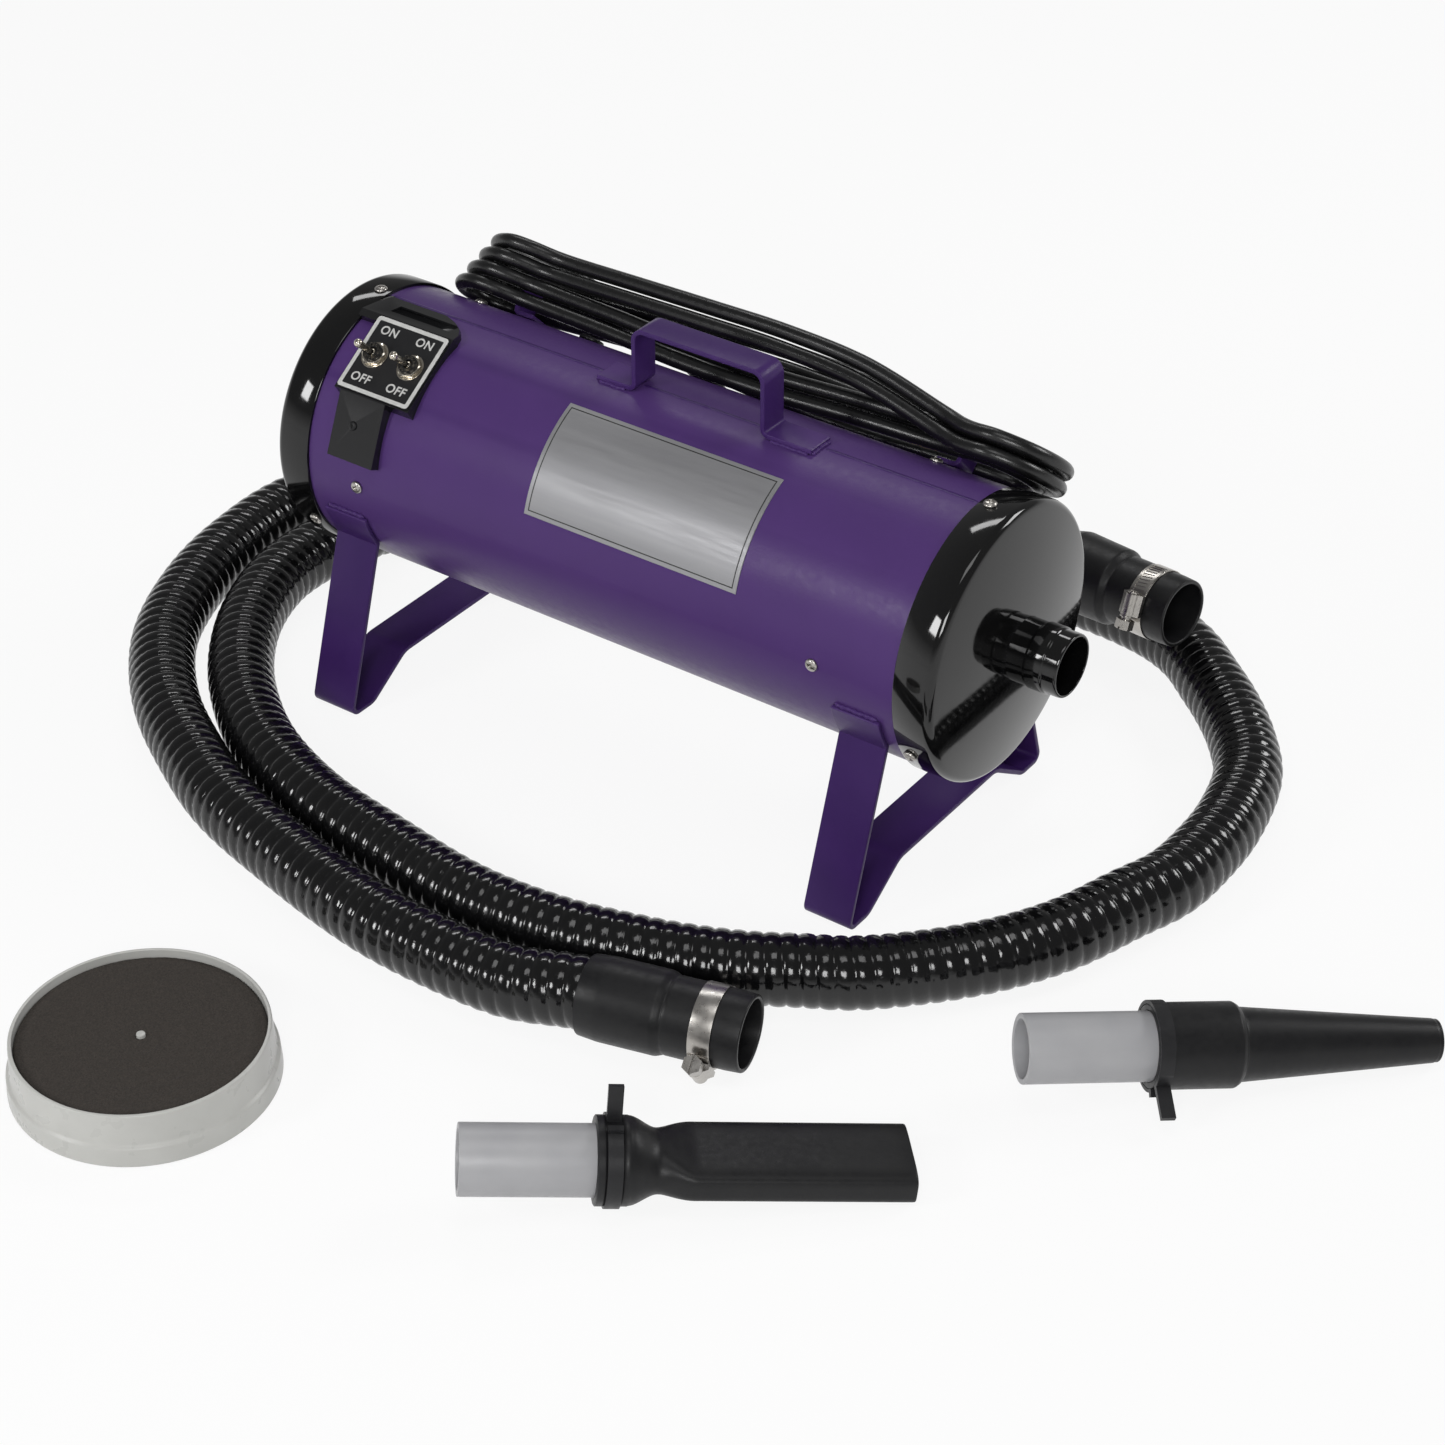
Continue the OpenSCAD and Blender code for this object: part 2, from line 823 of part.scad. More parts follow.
module name_plate() {
    half = plate_arc / shell_r * 90 / PI;
    color(plate_silver) in_kit()
        band(
            plate_x - plate_len / 2, plate_len, shell_r + seat_gap, plate_t,
            plate_angle - half, plate_angle + half
        );
}

// A strap that stands straight out of the tube, with its top turned away from the middle
module cord_hook(x, away) {
    foot_turn = 14;
    path = [
        [-foot_turn, seat_gap + hook_t / 2], [0, seat_gap + hook_t / 2],
        [0, hook_h - hook_t / 2], [hook_turn, hook_h - hook_t / 2]
    ];
    color(purple) in_kit()
        radial(x, hook_angle, shell_r)
            mirror([away < 0 ? 1 : 0, 0, 0])
                translate([0, hook_w / 2, 0])
                    rotate([90, 0, 0])
                        strap(rounded(path, [3.5, 5]), hook_t, hook_w);
}

module rear_cord_hook() {
    cord_hook(rear_hook_x, -1);
}

module front_cord_hook() {
    cord_hook(front_hook_x, 1);
}

// ---- Cord gland, cord and plug ----

// A bent strain relief: a flange on the tube, an elbow, and a sleeve along the tube
module cord_gland() {
    rise = gland_turn_n - shell_r;
    color(satin_black) in_kit()
        radial(gland_x, hook_angle, shell_r) {
            translate([0, 0, -4])
                cylinder(r = gland_r - 1.5, h = 4 + rise);
            translate([0, 0, 0.4])
                cylinder(r = gland_r, h = 2.6);
            translate([0, 0, rise])
                sphere(r = gland_r - 1.5);
            translate([0, 0, rise])
                rotate([0, 90, 0])
                    cylinder(r1 = gland_r - 1.5, r2 = cord_r + 0.9, h = gland_sleeve);
        }
}

// A place beside the hooks, as distance along the tube, across, and out from the axis
function by_hooks(p) = [
    p.x,
    p.z * cos(hook_angle) - p.y * sin(hook_angle),
    axis_h + p.z * sin(hook_angle) + p.y * cos(hook_angle)
];

// The hank: each loop passes both hooks, and climbs one layer along its far run
run_t = hook_w / 2 + cord_r + soft_gap;
fold_r = 24;
first_n = shell_r + 9;
outer_step = layer_rise + 0.4;
rear_fold_x = rear_hook_x - 22.5;
front_fold_x = front_hook_x + 22;
run_from = rear_hook_x + 12;
run_to = front_hook_x - 14;
rear_lean = 4;
rear_droop = 2;
front_lift = 5;
near_sag = 5;
far_sag = 2;

function rear_n(k) = first_n + k * layer_rise;
function ahead_n(k) = first_n + (k % 2) * layer_rise;
function ahead_out(k) = k < 2 ? 0 : outer_step;
function lift_of(k) = k < 2 ? 0 : front_lift;

// A run's point at share s of the way from the rear hook to the front hook
function run_point(s, side, k, behind_n) = [
    run_from + rear_lean * k * (1 - s) + (run_to - run_from) * s,
    side * (run_t + ahead_out(k) * min(1, 2 * s)),
    behind_n + (ahead_n(k) + lift_of(k) - rear_n(k)) * pow(max(0, (s - 0.55) / 0.45), 2.5)
        - (k < 2 ? (side > 0 ? near_sag : far_sag) * pow(sin(180 * s), 2) : 0)
];

function near_run(k) = [for (s = [1:-0.2:0]) run_point(s, 1, k, rear_n(k))];

function far_run(k) = [
    for (s = [0:0.2:1]) run_point(s, -1, k + 1, rear_n(k) + layer_rise * min(1, 2.2 * s))
];

// A fold's angles, on both sides of its tip
fold_angles = [115, 80, 40, 0, -40, -80, -115];

function rear_fold(k) = [
    for (a = fold_angles)
        [
            rear_fold_x + rear_lean * k - fold_r * cos(a),
            fold_r * sin(a),
            rear_n(k) - rear_droop * max(0, cos(a))
        ]
];

function front_fold(k) =
    let (r = fold_r + ahead_out(k))
    [for (a = backward(fold_angles))
        [front_fold_x + r * cos(a), r * sin(a), ahead_n(k) + lift_of(k) * (1 - sin(a)) / 2]];

cord_start = [gland_x + gland_sleeve, 0, gland_turn_n];
plug_r = shell_r + soft_gap + plug_thick / 2;
plug_t = -plug_r * sin(hook_angle - plug_angle);
plug_n = plug_r * cos(hook_angle - plug_angle);

hank_route = concat(
    [
        cord_start - [20, 0, 0], cord_start, cord_start + [14, 0, 0], cord_start + [40, -2, 0],
        [15, -9, 90], [60, -run_t, 88.5], [105, -run_t, 88.5], [run_to, -run_t, 90.5]
    ],
    [for (k = [0:hank_layers - 1])
        each concat(
            front_fold(k),
            near_run(k),
            rear_fold(k),
            k < hank_layers - 1 ? far_run(k) : []
        )],
    [
        [-138, -22, rear_n(hank_layers - 1) - 1], [-95, -35, 111], [-52, -48, 96], [-16, -55, 83],
        [plug_x - 45, plug_t, plug_n], [plug_x - 24, plug_t, plug_n],
        [plug_x - 10, plug_t, plug_n], [plug_x, plug_t, plug_n], [plug_x + 20, plug_t, plug_n]
    ]
);

cord_line = [for (i = [1:len(hank_route) - 2]) hank_route[i]];
cord_runs = run_lengths(cord_line);
cord_length = cord_runs[len(cord_runs) - 1];

module mains_cord() {
    rings = [
        for (i = [1:len(hank_route) - 2])
            let (way = unit(hank_route[i + 1] - hank_route[i - 1]))
            [for (p = ring_at(hank_route[i], way, [0, 0, 1], cord_r, cord_sides)) by_hooks(p)]
    ];
    color(satin_black) in_kit()
        solid_tube(rings, cord_sides);
}

// Local X along the plug, local Z away from the tube
module plug_frame() {
    translate([plug_x, 0, axis_h])
        rotate([plug_angle - 90, 0, 0])
            translate([0, 0, plug_r])
                children();
}

module mains_plug() {
    nose = plug_len * 0.45;
    color(satin_black) in_kit()
        plug_frame() {
            translate([plug_len - nose, -plug_w / 2, -plug_thick / 2])
                cube([nose, plug_w, plug_thick]);
            hull() {
                translate([plug_len - nose, -plug_w / 2, -plug_thick / 2])
                    cube([1, plug_w, plug_thick]);
                rotate([0, 90, 0])
                    cylinder(r = cord_r + 2, h = 1, $fn = 32);
            }
        }
}

module plug_blades() {
    color(brass) in_kit()
        plug_frame()
            translate([plug_len + 0.02, 0, 0]) {
                for (side = [-1, 1])
                    translate([0, side * 6.35 - 0.75, -1.5])
                        cube([blade_len, 1.5, 6.4]);
                translate([0, 0, -6])
                    rotate([0, 90, 0])
                        cylinder(d = 4.8, h = blade_len + 3);
            }
}

// ---- Switch box ----

// Outline of the box's sloping upper end, seen square to the switch plate
function wedge_outline() =
    let (
        right = switch_len / 2 + switch_margin,
        left = switch_x + cap_edge - 0.5,
        from = switch_wide / 2 - switch_down,
        core = right - 52,
        steps = 6
    )
    concat(
        [[-left, from - 4], [right, from - 4]],
        [for (i = [0:steps]) [core + 52 * cos(90 * i / steps), from + wedge_len * sin(90 * i / steps)]],
        [[-left, from + wedge_len]]
    );

module switch_housing() {
    wide = switch_wide + 2 * switch_margin;
    long = switch_len + 2 * switch_margin;
    wedge_from = switch_wide / 2 - switch_down;
    drop = 19.5;
    deep = 44;
    wall = 3;
    color(gloss_black) in_kit()
        difference() {
            union() {
                on_switch_face()
                    translate([-long / 2, -wide / 2 - switch_down, -deep])
                        cube([long, wide, deep - switch_t]);
                on_switch_face()
                    intersection() {
                        translate([0, 0, -deep])
                            linear_extrude(deep)
                                polygon(wedge_outline());
                        translate([-long, 0, 0])
                            rotate([90, 0, 90])
                                linear_extrude(2 * long)
                                    polygon([
                                        [wedge_from - 4, -switch_t], [wedge_from + 1, -switch_t],
                                        [wedge_from + wedge_len + 2, -switch_t - drop - 1],
                                        [wedge_from + wedge_len + 2, -deep],
                                        [wedge_from - 4, -deep]
                                    ]);
                    }
                radial(lower_box_x, lower_box_angle, shell_r + lower_box_proud)
                    translate([-lower_box_len / 2, -lower_box_wide / 2, -20])
                        cube([lower_box_len, lower_box_wide + 9, 20]);
            }
            along_axis(-shell_end - 1)
                cylinder(r = shell_r + seat_gap, h = 2 * shell_end);
            on_switch_face()
                translate([-long, -wide / 2 - switch_down - 0.5, -switch_t])
                    cube([2 * long, wide, 10]);
            on_switch_face()
                translate([-long / 2 + wall, -wide / 2 - switch_down + wall, -deep - 1])
                    cube([long - 2 * wall, wide - 2 * wall - 2, deep + 1 - switch_t - box_skin]);
            for (side = [-1, 1])
                on_switch_face()
                    translate([side * toggle_gap / 2, -switch_down, -10])
                        cylinder(d = toggle_bush_d + 2 * seat_gap, h = 12);
            on_switch_face()
                translate([-27, wedge_from + 7, -switch_t - 5])
                    rotate([-atan(drop / wedge_len), 0, 0])
                        translate([0, 0, -1.2])
                            cube([46, 10, 8]);
            radial(lower_box_x, lower_box_angle, shell_r)
                translate(housing_screw_at)
                    cylinder(r = 1.6, h = 12);
        }
}

module switch_plate() {
    corner = 2;
    color(gloss_black) in_kit()
        on_switch_face()
            translate([0, -switch_down, -switch_t + 0.02])
                difference() {
                    linear_extrude(switch_t - 0.02)
                        rounded_rectangle(switch_len, switch_wide, corner);
                    for (side = [-1, 1])
                        translate([side * toggle_gap / 2, 0, -1])
                            cylinder(d = toggle_bush_d + 2 * seat_gap, h = 5);
                }
}

// A flat rectangle with round corners, made of exact arcs
module rounded_rectangle(long, wide, r) {
    square([long - 2 * r, wide], center = true);
    square([long, wide - 2 * r], center = true);
    for (x = [-1, 1])
        for (y = [-1, 1])
            translate([x * (long / 2 - r), y * (wide / 2 - r)])
                circle(r = r, $fn = 32);
}

module housing_screw() {
    color(satin_black) in_kit()
        radial(lower_box_x, lower_box_angle, shell_r + lower_box_proud + 0.02)
            translate(housing_screw_at)
                pan_screw(1.4, lower_box_proud - 0.5, 2.8, 1.4);
}

module toggle_frame(side) {
    on_switch_face()
        translate([side * toggle_gap / 2, -switch_down, 0])
            children();
}

module toggle_body(side) {
    top = -switch_t - box_skin - seat_gap;
    color(satin_black) in_kit()
        toggle_frame(side)
            difference() {
                union() {
                    translate([-6.6, -14, top - 17])
                        cube([13.2, 28, 17]);
                    translate([0, 0, top - 0.5])
                        cylinder(d = toggle_bush_d, h = toggle_top - top + 0.5);
                }
                translate([0, 0, toggle_pivot - toggle_ball_r - 1])
                    cylinder(r = toggle_ball_r + 0.2, h = 20);
            }
}

module motor_toggle_body() {
    toggle_body(-1);
}

module heat_toggle_body() {
    toggle_body(1);
}

// A flat washer and a six-sided nut on each toggle's bushing
module toggle_nuts() {
    color(nickel) in_kit()
        for (side = [-1, 1])
            toggle_frame(side) {
                translate([0, 0, 0.05])
                    ring(toggle_bush_d / 2 + seat_gap, toggle_washer_d / 2, 0.8);
                translate([0, 0, 0.9])
                    difference() {
                        cylinder(d = toggle_nut_flat / cos(30), h = 2.6, $fn = 6);
                        translate([0, 0, -1])
                            cylinder(r = toggle_bush_d / 2 + seat_gap, h = 5);
                    }
            }
}

// The lever leans to its off side at rest
module toggle_lever(side) {
    tip_r = 2.7;
    color(nickel) in_kit()
        toggle_frame(side)
            translate([0, 0, toggle_pivot])
                rotate([toggle_throw / 2, 0, 0]) {
                    sphere(r = toggle_ball_r, $fn = 48);
                    cylinder(r1 = 1.5, r2 = tip_r - 0.3, h = toggle_len - tip_r);
                    translate([0, 0, toggle_len - tip_r])
                        sphere(r = tip_r, $fn = 48);
                }
}

module motor_toggle_lever() {
    toggle_lever(-1);
}

module heat_toggle_lever() {
    toggle_lever(1);
}

// ---- Motor ----

// A round frame screwed inside the tube
module frame_band(x, len) {
    difference() {
        along_axis(x - frame_band_len / 2)
            ring(shell_bore_r - ring_t, shell_bore_r - seat_gap, len);
        for (a = mount_screw_angles)
            radial(x, a, shell_bore_r - 8)
                cylinder(r = screw_hole_r, h = 12);
    }
}

module motor_ring() {
    color(iron) in_kit() {
        difference() {
            frame_band(motor_mount_x, motor_band_len);
            on_switch_face()
                translate([-24, -22, -40])
                    cube([48, 44, 40]);
        }
        along_axis(bulkhead_x - ring_t)
            ring(52, shell_bore_r - ring_t + 0.5, ring_t);
    }
}

module motor_gasket() {
    color(satin_black) in_kit()
        along_axis(bulkhead_x)
            ring(54, fan_case_d / 2 - 1, gasket_t);
}

module fan_case() {
    r = fan_case_d / 2;
    color(zinc) in_kit()
        along_axis(fan_x)
            rotate_extrude()
                polygon([
                    [inlet_r, 0], [r - 3, 0], [r, 3], [r, fan_case_len], [r - case_t, fan_case_len],
                    [r - case_t, 3.5], [r - 3.5, case_t], [inlet_r, case_t]
                ]);
}

// The still disc between the two fans, whose vanes turn the air back to the middle
module guide_vanes() {
    back = fan_1 + fan_thick + 3;
    len = fan_2 - back - 3;
    color(zinc) in_kit()
        along_axis(back) {
            ring(16, fan_case_d / 2 - case_t - seat_gap, 1.5);
            for (i = [0:7])
                rotate([0, 0, 45 * i])
                    translate([26, -0.6, 1.4])
                        cube([fan_case_d / 2 - case_t - 28, 1.2, len - 1.4]);
        }
}

// One backward-swept fan: two discs with blades between them and a hub on the shaft
module impeller() {
    sweep_r = 60;
    difference() {
        union() {
            ring(shaft_d / 2 + run_gap, 11, fan_thick);
            ring(10, fan_d / 2, 1.2);
            translate([0, 0, fan_thick - 1.2])
                ring(10, fan_d / 2, 1.2);
            for (i = [0:fan_blades - 1])
                rotate([0, 0, 360 * i / fan_blades])
                    intersection() {
                        translate([20, -sweep_r + 6, 1])
                            ring(sweep_r - 0.8, sweep_r, fan_thick - 2);
                        rotate([0, 0, -50])
                            rotate_extrude(angle = 75)
                                translate([27, 0])
                                    square([fan_d / 2 - 28, fan_thick]);
                    }
        }
        translate([0, 0, -0.1])
            ring(11.5, 25, 2.5);
    }
}

module impellers() {
    color(zinc) in_kit()
        for (x = [fan_1, fan_2])
            along_axis(x)
                impeller();
}

// Cast frame: the plate that closes the fan case, a windowed cage and the far bearing's arms
module motor_frame() {
    windows = 6;
    color(iron) in_kit()
        along_axis(frame_x)
            difference() {
                union() {
                    cylinder(r = fan_case_d / 2, h = frame_plate);
                    translate([0, 0, -3])
                        cylinder(r = bearing_d / 2 + 4, h = 3 + bearing_w + 3);
                    cylinder(r = cage_r, h = cage_len + frame_plate);
                    translate([0, 0, cage_len])
                        cylinder(r = bearing_d / 2 + 4, h = bearing_w + 5);
                }
                difference() {
                    translate([0, 0, frame_plate])
                        cylinder(r = field_r, h = cage_len - frame_plate);
                    translate([0, 0, frame_plate - 1])
                        cylinder(r = bearing_d / 2 + 4, h = bearing_w + 0.1);
                }
                translate([0, 0, -10])
                    cylinder(r = shaft_d / 2 + 1, h = cage_len + 40);
                translate([0, 0, bearing_in - seat_gap])
                    cylinder(r = bearing_d / 2 + run_gap, h = bearing_w + 30);
                translate([0, 0, cage_len - 1])
                    cylinder(r = bearing_d / 2 + run_gap, h = bearing_w + bearing_in + 1 + seat_gap);
                for (i = [0:windows - 1])
                    rotate([0, 0, 360 * i / windows])
                        translate([0, -9, brush_x - frame_x - 8])
                            cube([cage_r + 5, 18, 16]);
                for (i = [0:windows - 1])
                    rotate([0, 0, 360 * i / windows + 30])
                        translate([cage_r + 10, 0, -1])
                            cylinder(r = 7, h = frame_plate + 2);
                for (i = [0:windows - 1])
                    rotate([0, 0, 360 * i / windows + 30])
                        translate([31, 0, cage_len - 1])
                            cylinder(r = 9, h = frame_plate + 3);
            }
}

module field_core() {
    color(copper) in_kit()
        along_axis(field_x)
            difference() {
                cylinder(r = field_r - seat_gap, h = armature_len);
                translate([0, 0, -1])
                    cylinder(r = armature_d / 2 + 0.6, h = armature_len + 2);
                for (a = [0:90:270])
                    rotate([0, 0, a + 45])
                        translate([armature_d / 2 + 4, 0, -1])
                            cylinder(r = 5, h = armature_len + 2);
            }
}

module motor_shaft() {
    color(zinc) in_kit()
        along_axis(fan_1 - 2)
            cylinder(d = shaft_d, h = shaft_front - fan_1 + 2);
}

module armature() {
    slots = 12;
    color(copper) in_kit()
        along_axis(field_x)
            difference() {
                cylinder(d = armature_d, h = armature_len);
                translate([0, 0, -1])
                    cylinder(r = shaft_d / 2 + run_gap, h = armature_len + 2);
                for (i = [0:slots - 1])
                    rotate([0, 0, 360 * i / slots])
                        translate([armature_d / 2 - 5, -1.2, -1])
                            cube([10, 2.4, armature_len + 2]);
            }
}

module commutator() {
    color(copper) in_kit()
        along_axis(commutator_x)
            ring(shaft_d / 2 + run_gap, commutator_r, commutator_len);
}

module bearings() {
    color(zinc) in_kit()
        for (x = [frame_x, end_plate_x])
            along_axis(x + bearing_in)
                ring(shaft_d / 2 + run_gap, bearing_d / 2, bearing_w);
}

module at_brushes() {
    along_axis(brush_x)
        for (a = [0, 180])
            rotate([0, 0, a])
                children();
}

// A square tube for each brush, with a flange outside the cage's window
module brush_holders() {
    outer = brush_w + 3;
    from = commutator_r + 4;
    color(brass) in_kit()
        at_brushes()
            difference() {
                union() {
                    translate([from, -outer / 2, -outer / 2])
                        cube([cage_r + 3 - from, outer, outer]);
                    translate([cage_r + seat_gap, -11, -10])
                        cube([2, 22, 20]);
                }
                translate([from - 1, -brush_w / 2 - seat_gap, -brush_w / 2 - seat_gap])
                    cube([cage_r + 1 - from, brush_w + 2 * seat_gap, brush_w + 2 * seat_gap]);
            }
}

module brushes() {
    color(satin_black) in_kit()
        at_brushes()
            translate([commutator_r + 0.3, -brush_w / 2, -brush_w / 2])
                cube([26, brush_w, brush_w]);
}

// ---- Heater ----

// The ring carries a plate of four spokes that widen outward
module heater_ring() {
    hub_r = 16;
    rim_r = 74;
    spoke_angle = 18;
    color(iron) in_kit() {
        frame_band(heater_mount_x, frame_band_len);
        along_axis(heater_plate_x)
            difference() {
                ring(hub_r - 6, shell_bore_r - ring_t + 0.5, ring_t);
                for (a = [45:90:315])
                    rotate([0, 0, a + spoke_angle / 2])
                        rotate_extrude(angle = 90 - spoke_angle)
                            translate([hub_r, -1])
                                square([rim_r - hub_r, ring_t + 2]);
            }
    }
}

// Two boards that cross, each slotted for half its length
module mica_boards() {
    reach = coil_r - coil_wire_r - soft_gap;
    from = heater_plate_x - heater_len - seat_gap;
    slot = board_t + 2 * seat_gap;
    color(mica) in_kit()
        along_axis(from) {
            difference() {
                translate([-reach, -board_t / 2, 0])
                    cube([2 * reach, board_t, heater_len]);
                translate([-slot / 2, -5, heater_len / 2 - seat_gap])
                    cube([slot, 10, heater_len]);
            }
            difference() {
                translate([-board_t / 2, -reach, 0])
                    cube([board_t, 2 * reach, heater_len]);
                translate([-5, -slot / 2, -1])
                    cube([10, slot, heater_len / 2 + 1 + seat_gap]);
            }
        }
}

// Turns of wire round the boards, joined by short straight bridges
module heater_coil() {
    step = (heater_len - 14) / (heater_turns - 1);
    from = heater_plate_x - heater_len + 6;
    color(nickel) in_kit()
        along_axis(from) {
            for (i = [0:heater_turns - 1])
                translate([0, 0, i * step])
                    rotate_extrude()
                        translate([coil_r, 0])
                            circle(r = coil_wire_r, $fn = 24);
            for (i = [0:heater_turns - 2])
                rotate([0, 0, 20 + 100 * (i % 2)])
                    translate([coil_r, 0, i * step])
                        cylinder(r = coil_wire_r * 0.8, h = step, $fn = 24);
        }
}

module thermostat() {
    color(zinc) in_kit()
        along_axis(heater_plate_x - 8 - seat_gap)
            rotate([0, 0, 45])
                translate([64, 0, 0]) {
                    cylinder(r = 8, h = 8);
                    translate([0, 0, -3])
                        cylinder(r = 5.5, h = 4);
                }
}

// ---- Hose, cuffs and clamps ----

function cuff_way(yaw, pitch) = [cos(pitch) * cos(yaw), cos(pitch) * sin(yaw), sin(pitch)];

hose_in_cuff = 36;
nozzle_cuff_way = cuff_way(nozzle_cuff_yaw, 0);
machine_cuff_way = cuff_way(machine_cuff_yaw, machine_cuff_pitch);
hose_from = nozzle_cuff_mouth - nozzle_cuff_way * (cuff_len - hose_in_cuff);
hose_to = machine_cuff_mouth - machine_cuff_way * (cuff_len - hose_in_cuff);

hose_line = concat(
    [
        hose_from + nozzle_cuff_way * 40, hose_from, hose_from - nozzle_cuff_way * 22,
        hose_from - nozzle_cuff_way * 44
    ],
    hose_route,
    [
        hose_to - machine_cuff_way * 44, hose_to - machine_cuff_way * 22, hose_to,
        hose_to + machine_cuff_way * 40
    ]
);
hose_fine = smooth_route(hose_line, 6);
hose_runs = run_lengths(hose_fine);
hose_length = hose_runs[len(hose_runs) - 1];
hose_root_r = hose_r - hose_rib;
bore_rings = 64;

function hose_ring(d, r) =
    ring_at(point_at(hose_fine, hose_runs, d), way_at(hose_fine, hose_runs, d), [0, 0, 1], r, hose_sides);

// Each rib has a ring on its crest and one in the groove behind it
module hose() {
    step = hose_length / hose_ribs;
    outer = concat(
        [for (i = [0:hose_ribs - 1]) each [
            hose_ring(i * step, hose_r),
            hose_ring((i + 0.55) * step, hose_root_r)
        ]],
        [hose_ring(hose_length, hose_r)]
    );
    inner = [
        for (i = [0:bore_rings]) hose_ring(hose_length * i / bore_rings, hose_root_r - hose_wall)
    ];
    color(gloss_black) in_kit()
        hollow_tube(outer, inner, hose_sides);
}

// Soft cuff: a socket for the hose behind, a clamped neck for the spigot in front
module cuff(wide_d, flare) {
    r = wide_d / 2;
    neck = cuff_neck_d / 2;
    socket = hose_r + soft_gap;
    color(satin_black)
        rotate_extrude()
            polygon([
                [socket, 0], [socket + 1.2, 0], [r + flare, 12], [r, cuff_wide_len],
                [neck, cuff_wide_len + 1.5], [neck, min(clamp_at + clamp_w, cuff_len - 1)],
                [neck - 0.6, cuff_len], [cuff_bore / 2, cuff_len],
                [cuff_bore / 2, hose_in_cuff + soft_gap], [socket, hose_in_cuff + soft_gap]
            ]);
}

module nozzle_cuff() {
    in_kit()
        nozzle_cuff_frame()
            cuff(nozzle_cuff_od, 0);
}

module machine_cuff() {
    in_kit()
        machine_cuff_frame()
            cuff(machine_cuff_od, 1.2);
}

clamp_in = cuff_neck_d / 2 + seat_gap;
clamp_out = clamp_in + 2 * clamp_t;
worm_r = 3.1;
worm_out = clamp_out + 0.5 + worm_r;
worm_house_len = 14;
nozzle_clamp_angle = -55;
machine_clamp_angle = -112;

module nozzle_cuff_frame() {
    cuff_frame(nozzle_cuff_mouth, nozzle_cuff_yaw, 0)
        children();
}

module machine_cuff_frame() {
    cuff_frame(machine_cuff_mouth, machine_cuff_yaw, machine_cuff_pitch)
        children();
}

module nozzle_clamp_frame() {
    in_kit()
        nozzle_cuff_frame()
            rotate([0, 0, nozzle_clamp_angle])
                translate([0, 0, clamp_at])
                    children();
}

module machine_clamp_frame() {
    in_kit()
        machine_cuff_frame()
            rotate([0, 0, machine_clamp_angle])
                translate([0, 0, clamp_at])
                    rotate([180, 0, 0])
                        children();
}

// Round band, its free end lying over it, and the saddle that holds the screw
module clamp() {
    tail = 80;
    overlap = 0.02;
    color(zinc) {
        translate([0, 0, -clamp_w / 2])
            ring(clamp_in, clamp_in + clamp_t, clamp_w);
        translate([0, 0, -clamp_w / 2 + 0.3])
            rotate([0, 0, -25])
                rotate_extrude(angle = tail + 25)
                    translate([clamp_in + clamp_t - overlap, 0])
                        square([clamp_t + overlap, clamp_w - 0.6]);
        difference() {
            union() {
                translate([clamp_in, -worm_house_len / 2, -clamp_w / 2 - 1])
                    cube([worm_out - clamp_in, worm_house_len, clamp_w + 2]);
                translate([worm_out, worm_house_len / 2, 0])
                    rotate([90, 0, 0])
                        cylinder(r = worm_r + 1.4, h = worm_house_len);
            }
            translate([0, 0, -clamp_w])
                cylinder(r = clamp_out - overlap, h = 2 * clamp_w);
            translate([worm_out, worm_house_len, 0])
                rotate([90, 0, 0])
                    cylinder(r = worm_r + run_gap, h = 2 * worm_house_len);
        }
    }
}

// The clamp's screw: a plain core in the saddle, a collar and a six-sided head
module clamp_screw() {
    head_gap = 0.15;
    from = worm_house_len / 2 + head_gap;
    tip = 1.5;
    color(zinc)
        translate([worm_out, 0, 0])
            rotate([90, 0, 0]) {
                translate([0, 0, -worm_house_len / 2 - tip])
                    cylinder(r = worm_r, h = worm_house_len + tip + 4);
                translate([0, 0, from])
                    cylinder(r = worm_r + 1.3, h = 1.2);
                translate([0, 0, from + 3])
                    cylinder(d = 10 / cos(30), h = 6, $fn = 6);
                translate([0, 0, -from - 1])
                    cylinder(r = worm_r + 0.6, h = 1);
            }
}

module nozzle_cuff_clamp() {
    nozzle_clamp_frame()
        clamp();
}

module machine_cuff_clamp() {
    machine_clamp_frame()
        clamp();
}

module nozzle_cuff_screw() {
    nozzle_clamp_frame()
        clamp_screw();
}

module machine_cuff_screw() {
    machine_clamp_frame()
        clamp_screw();
}

// ---- Nozzles ----

module flat_frame() {
    nozzle_frame(flat_at, flat_z, flat_yaw, flat_lean)
        children();
}

module cone_frame() {
    nozzle_frame(cone_at, cone_z, cone_yaw, cone_lean)
        children();
}

// A thin slice of the flat nozzle's section at distance x
module flat_slice(x, wide, high) {
    corner = high / flat_h * flat_corner;
    translate([x, 0, 0])
        rotate([90, 0, 90])
            linear_extrude(0.5)
                hull()
                    for (a = [-1, 1])
                        for (b = [-1, 1])
                            translate([a * (wide / 2 - corner), b * (high / 2 - corner)])
                                circle(r = corner, $fn = 20);
}

module round_slice(x, d) {
    translate([x, 0, 0])
        rotate([90, 0, 90])
            cylinder(d = d, h = 0.5, $fn = 32);
}

neck_at = 34;
body_at = 50;
collar_end = 18;

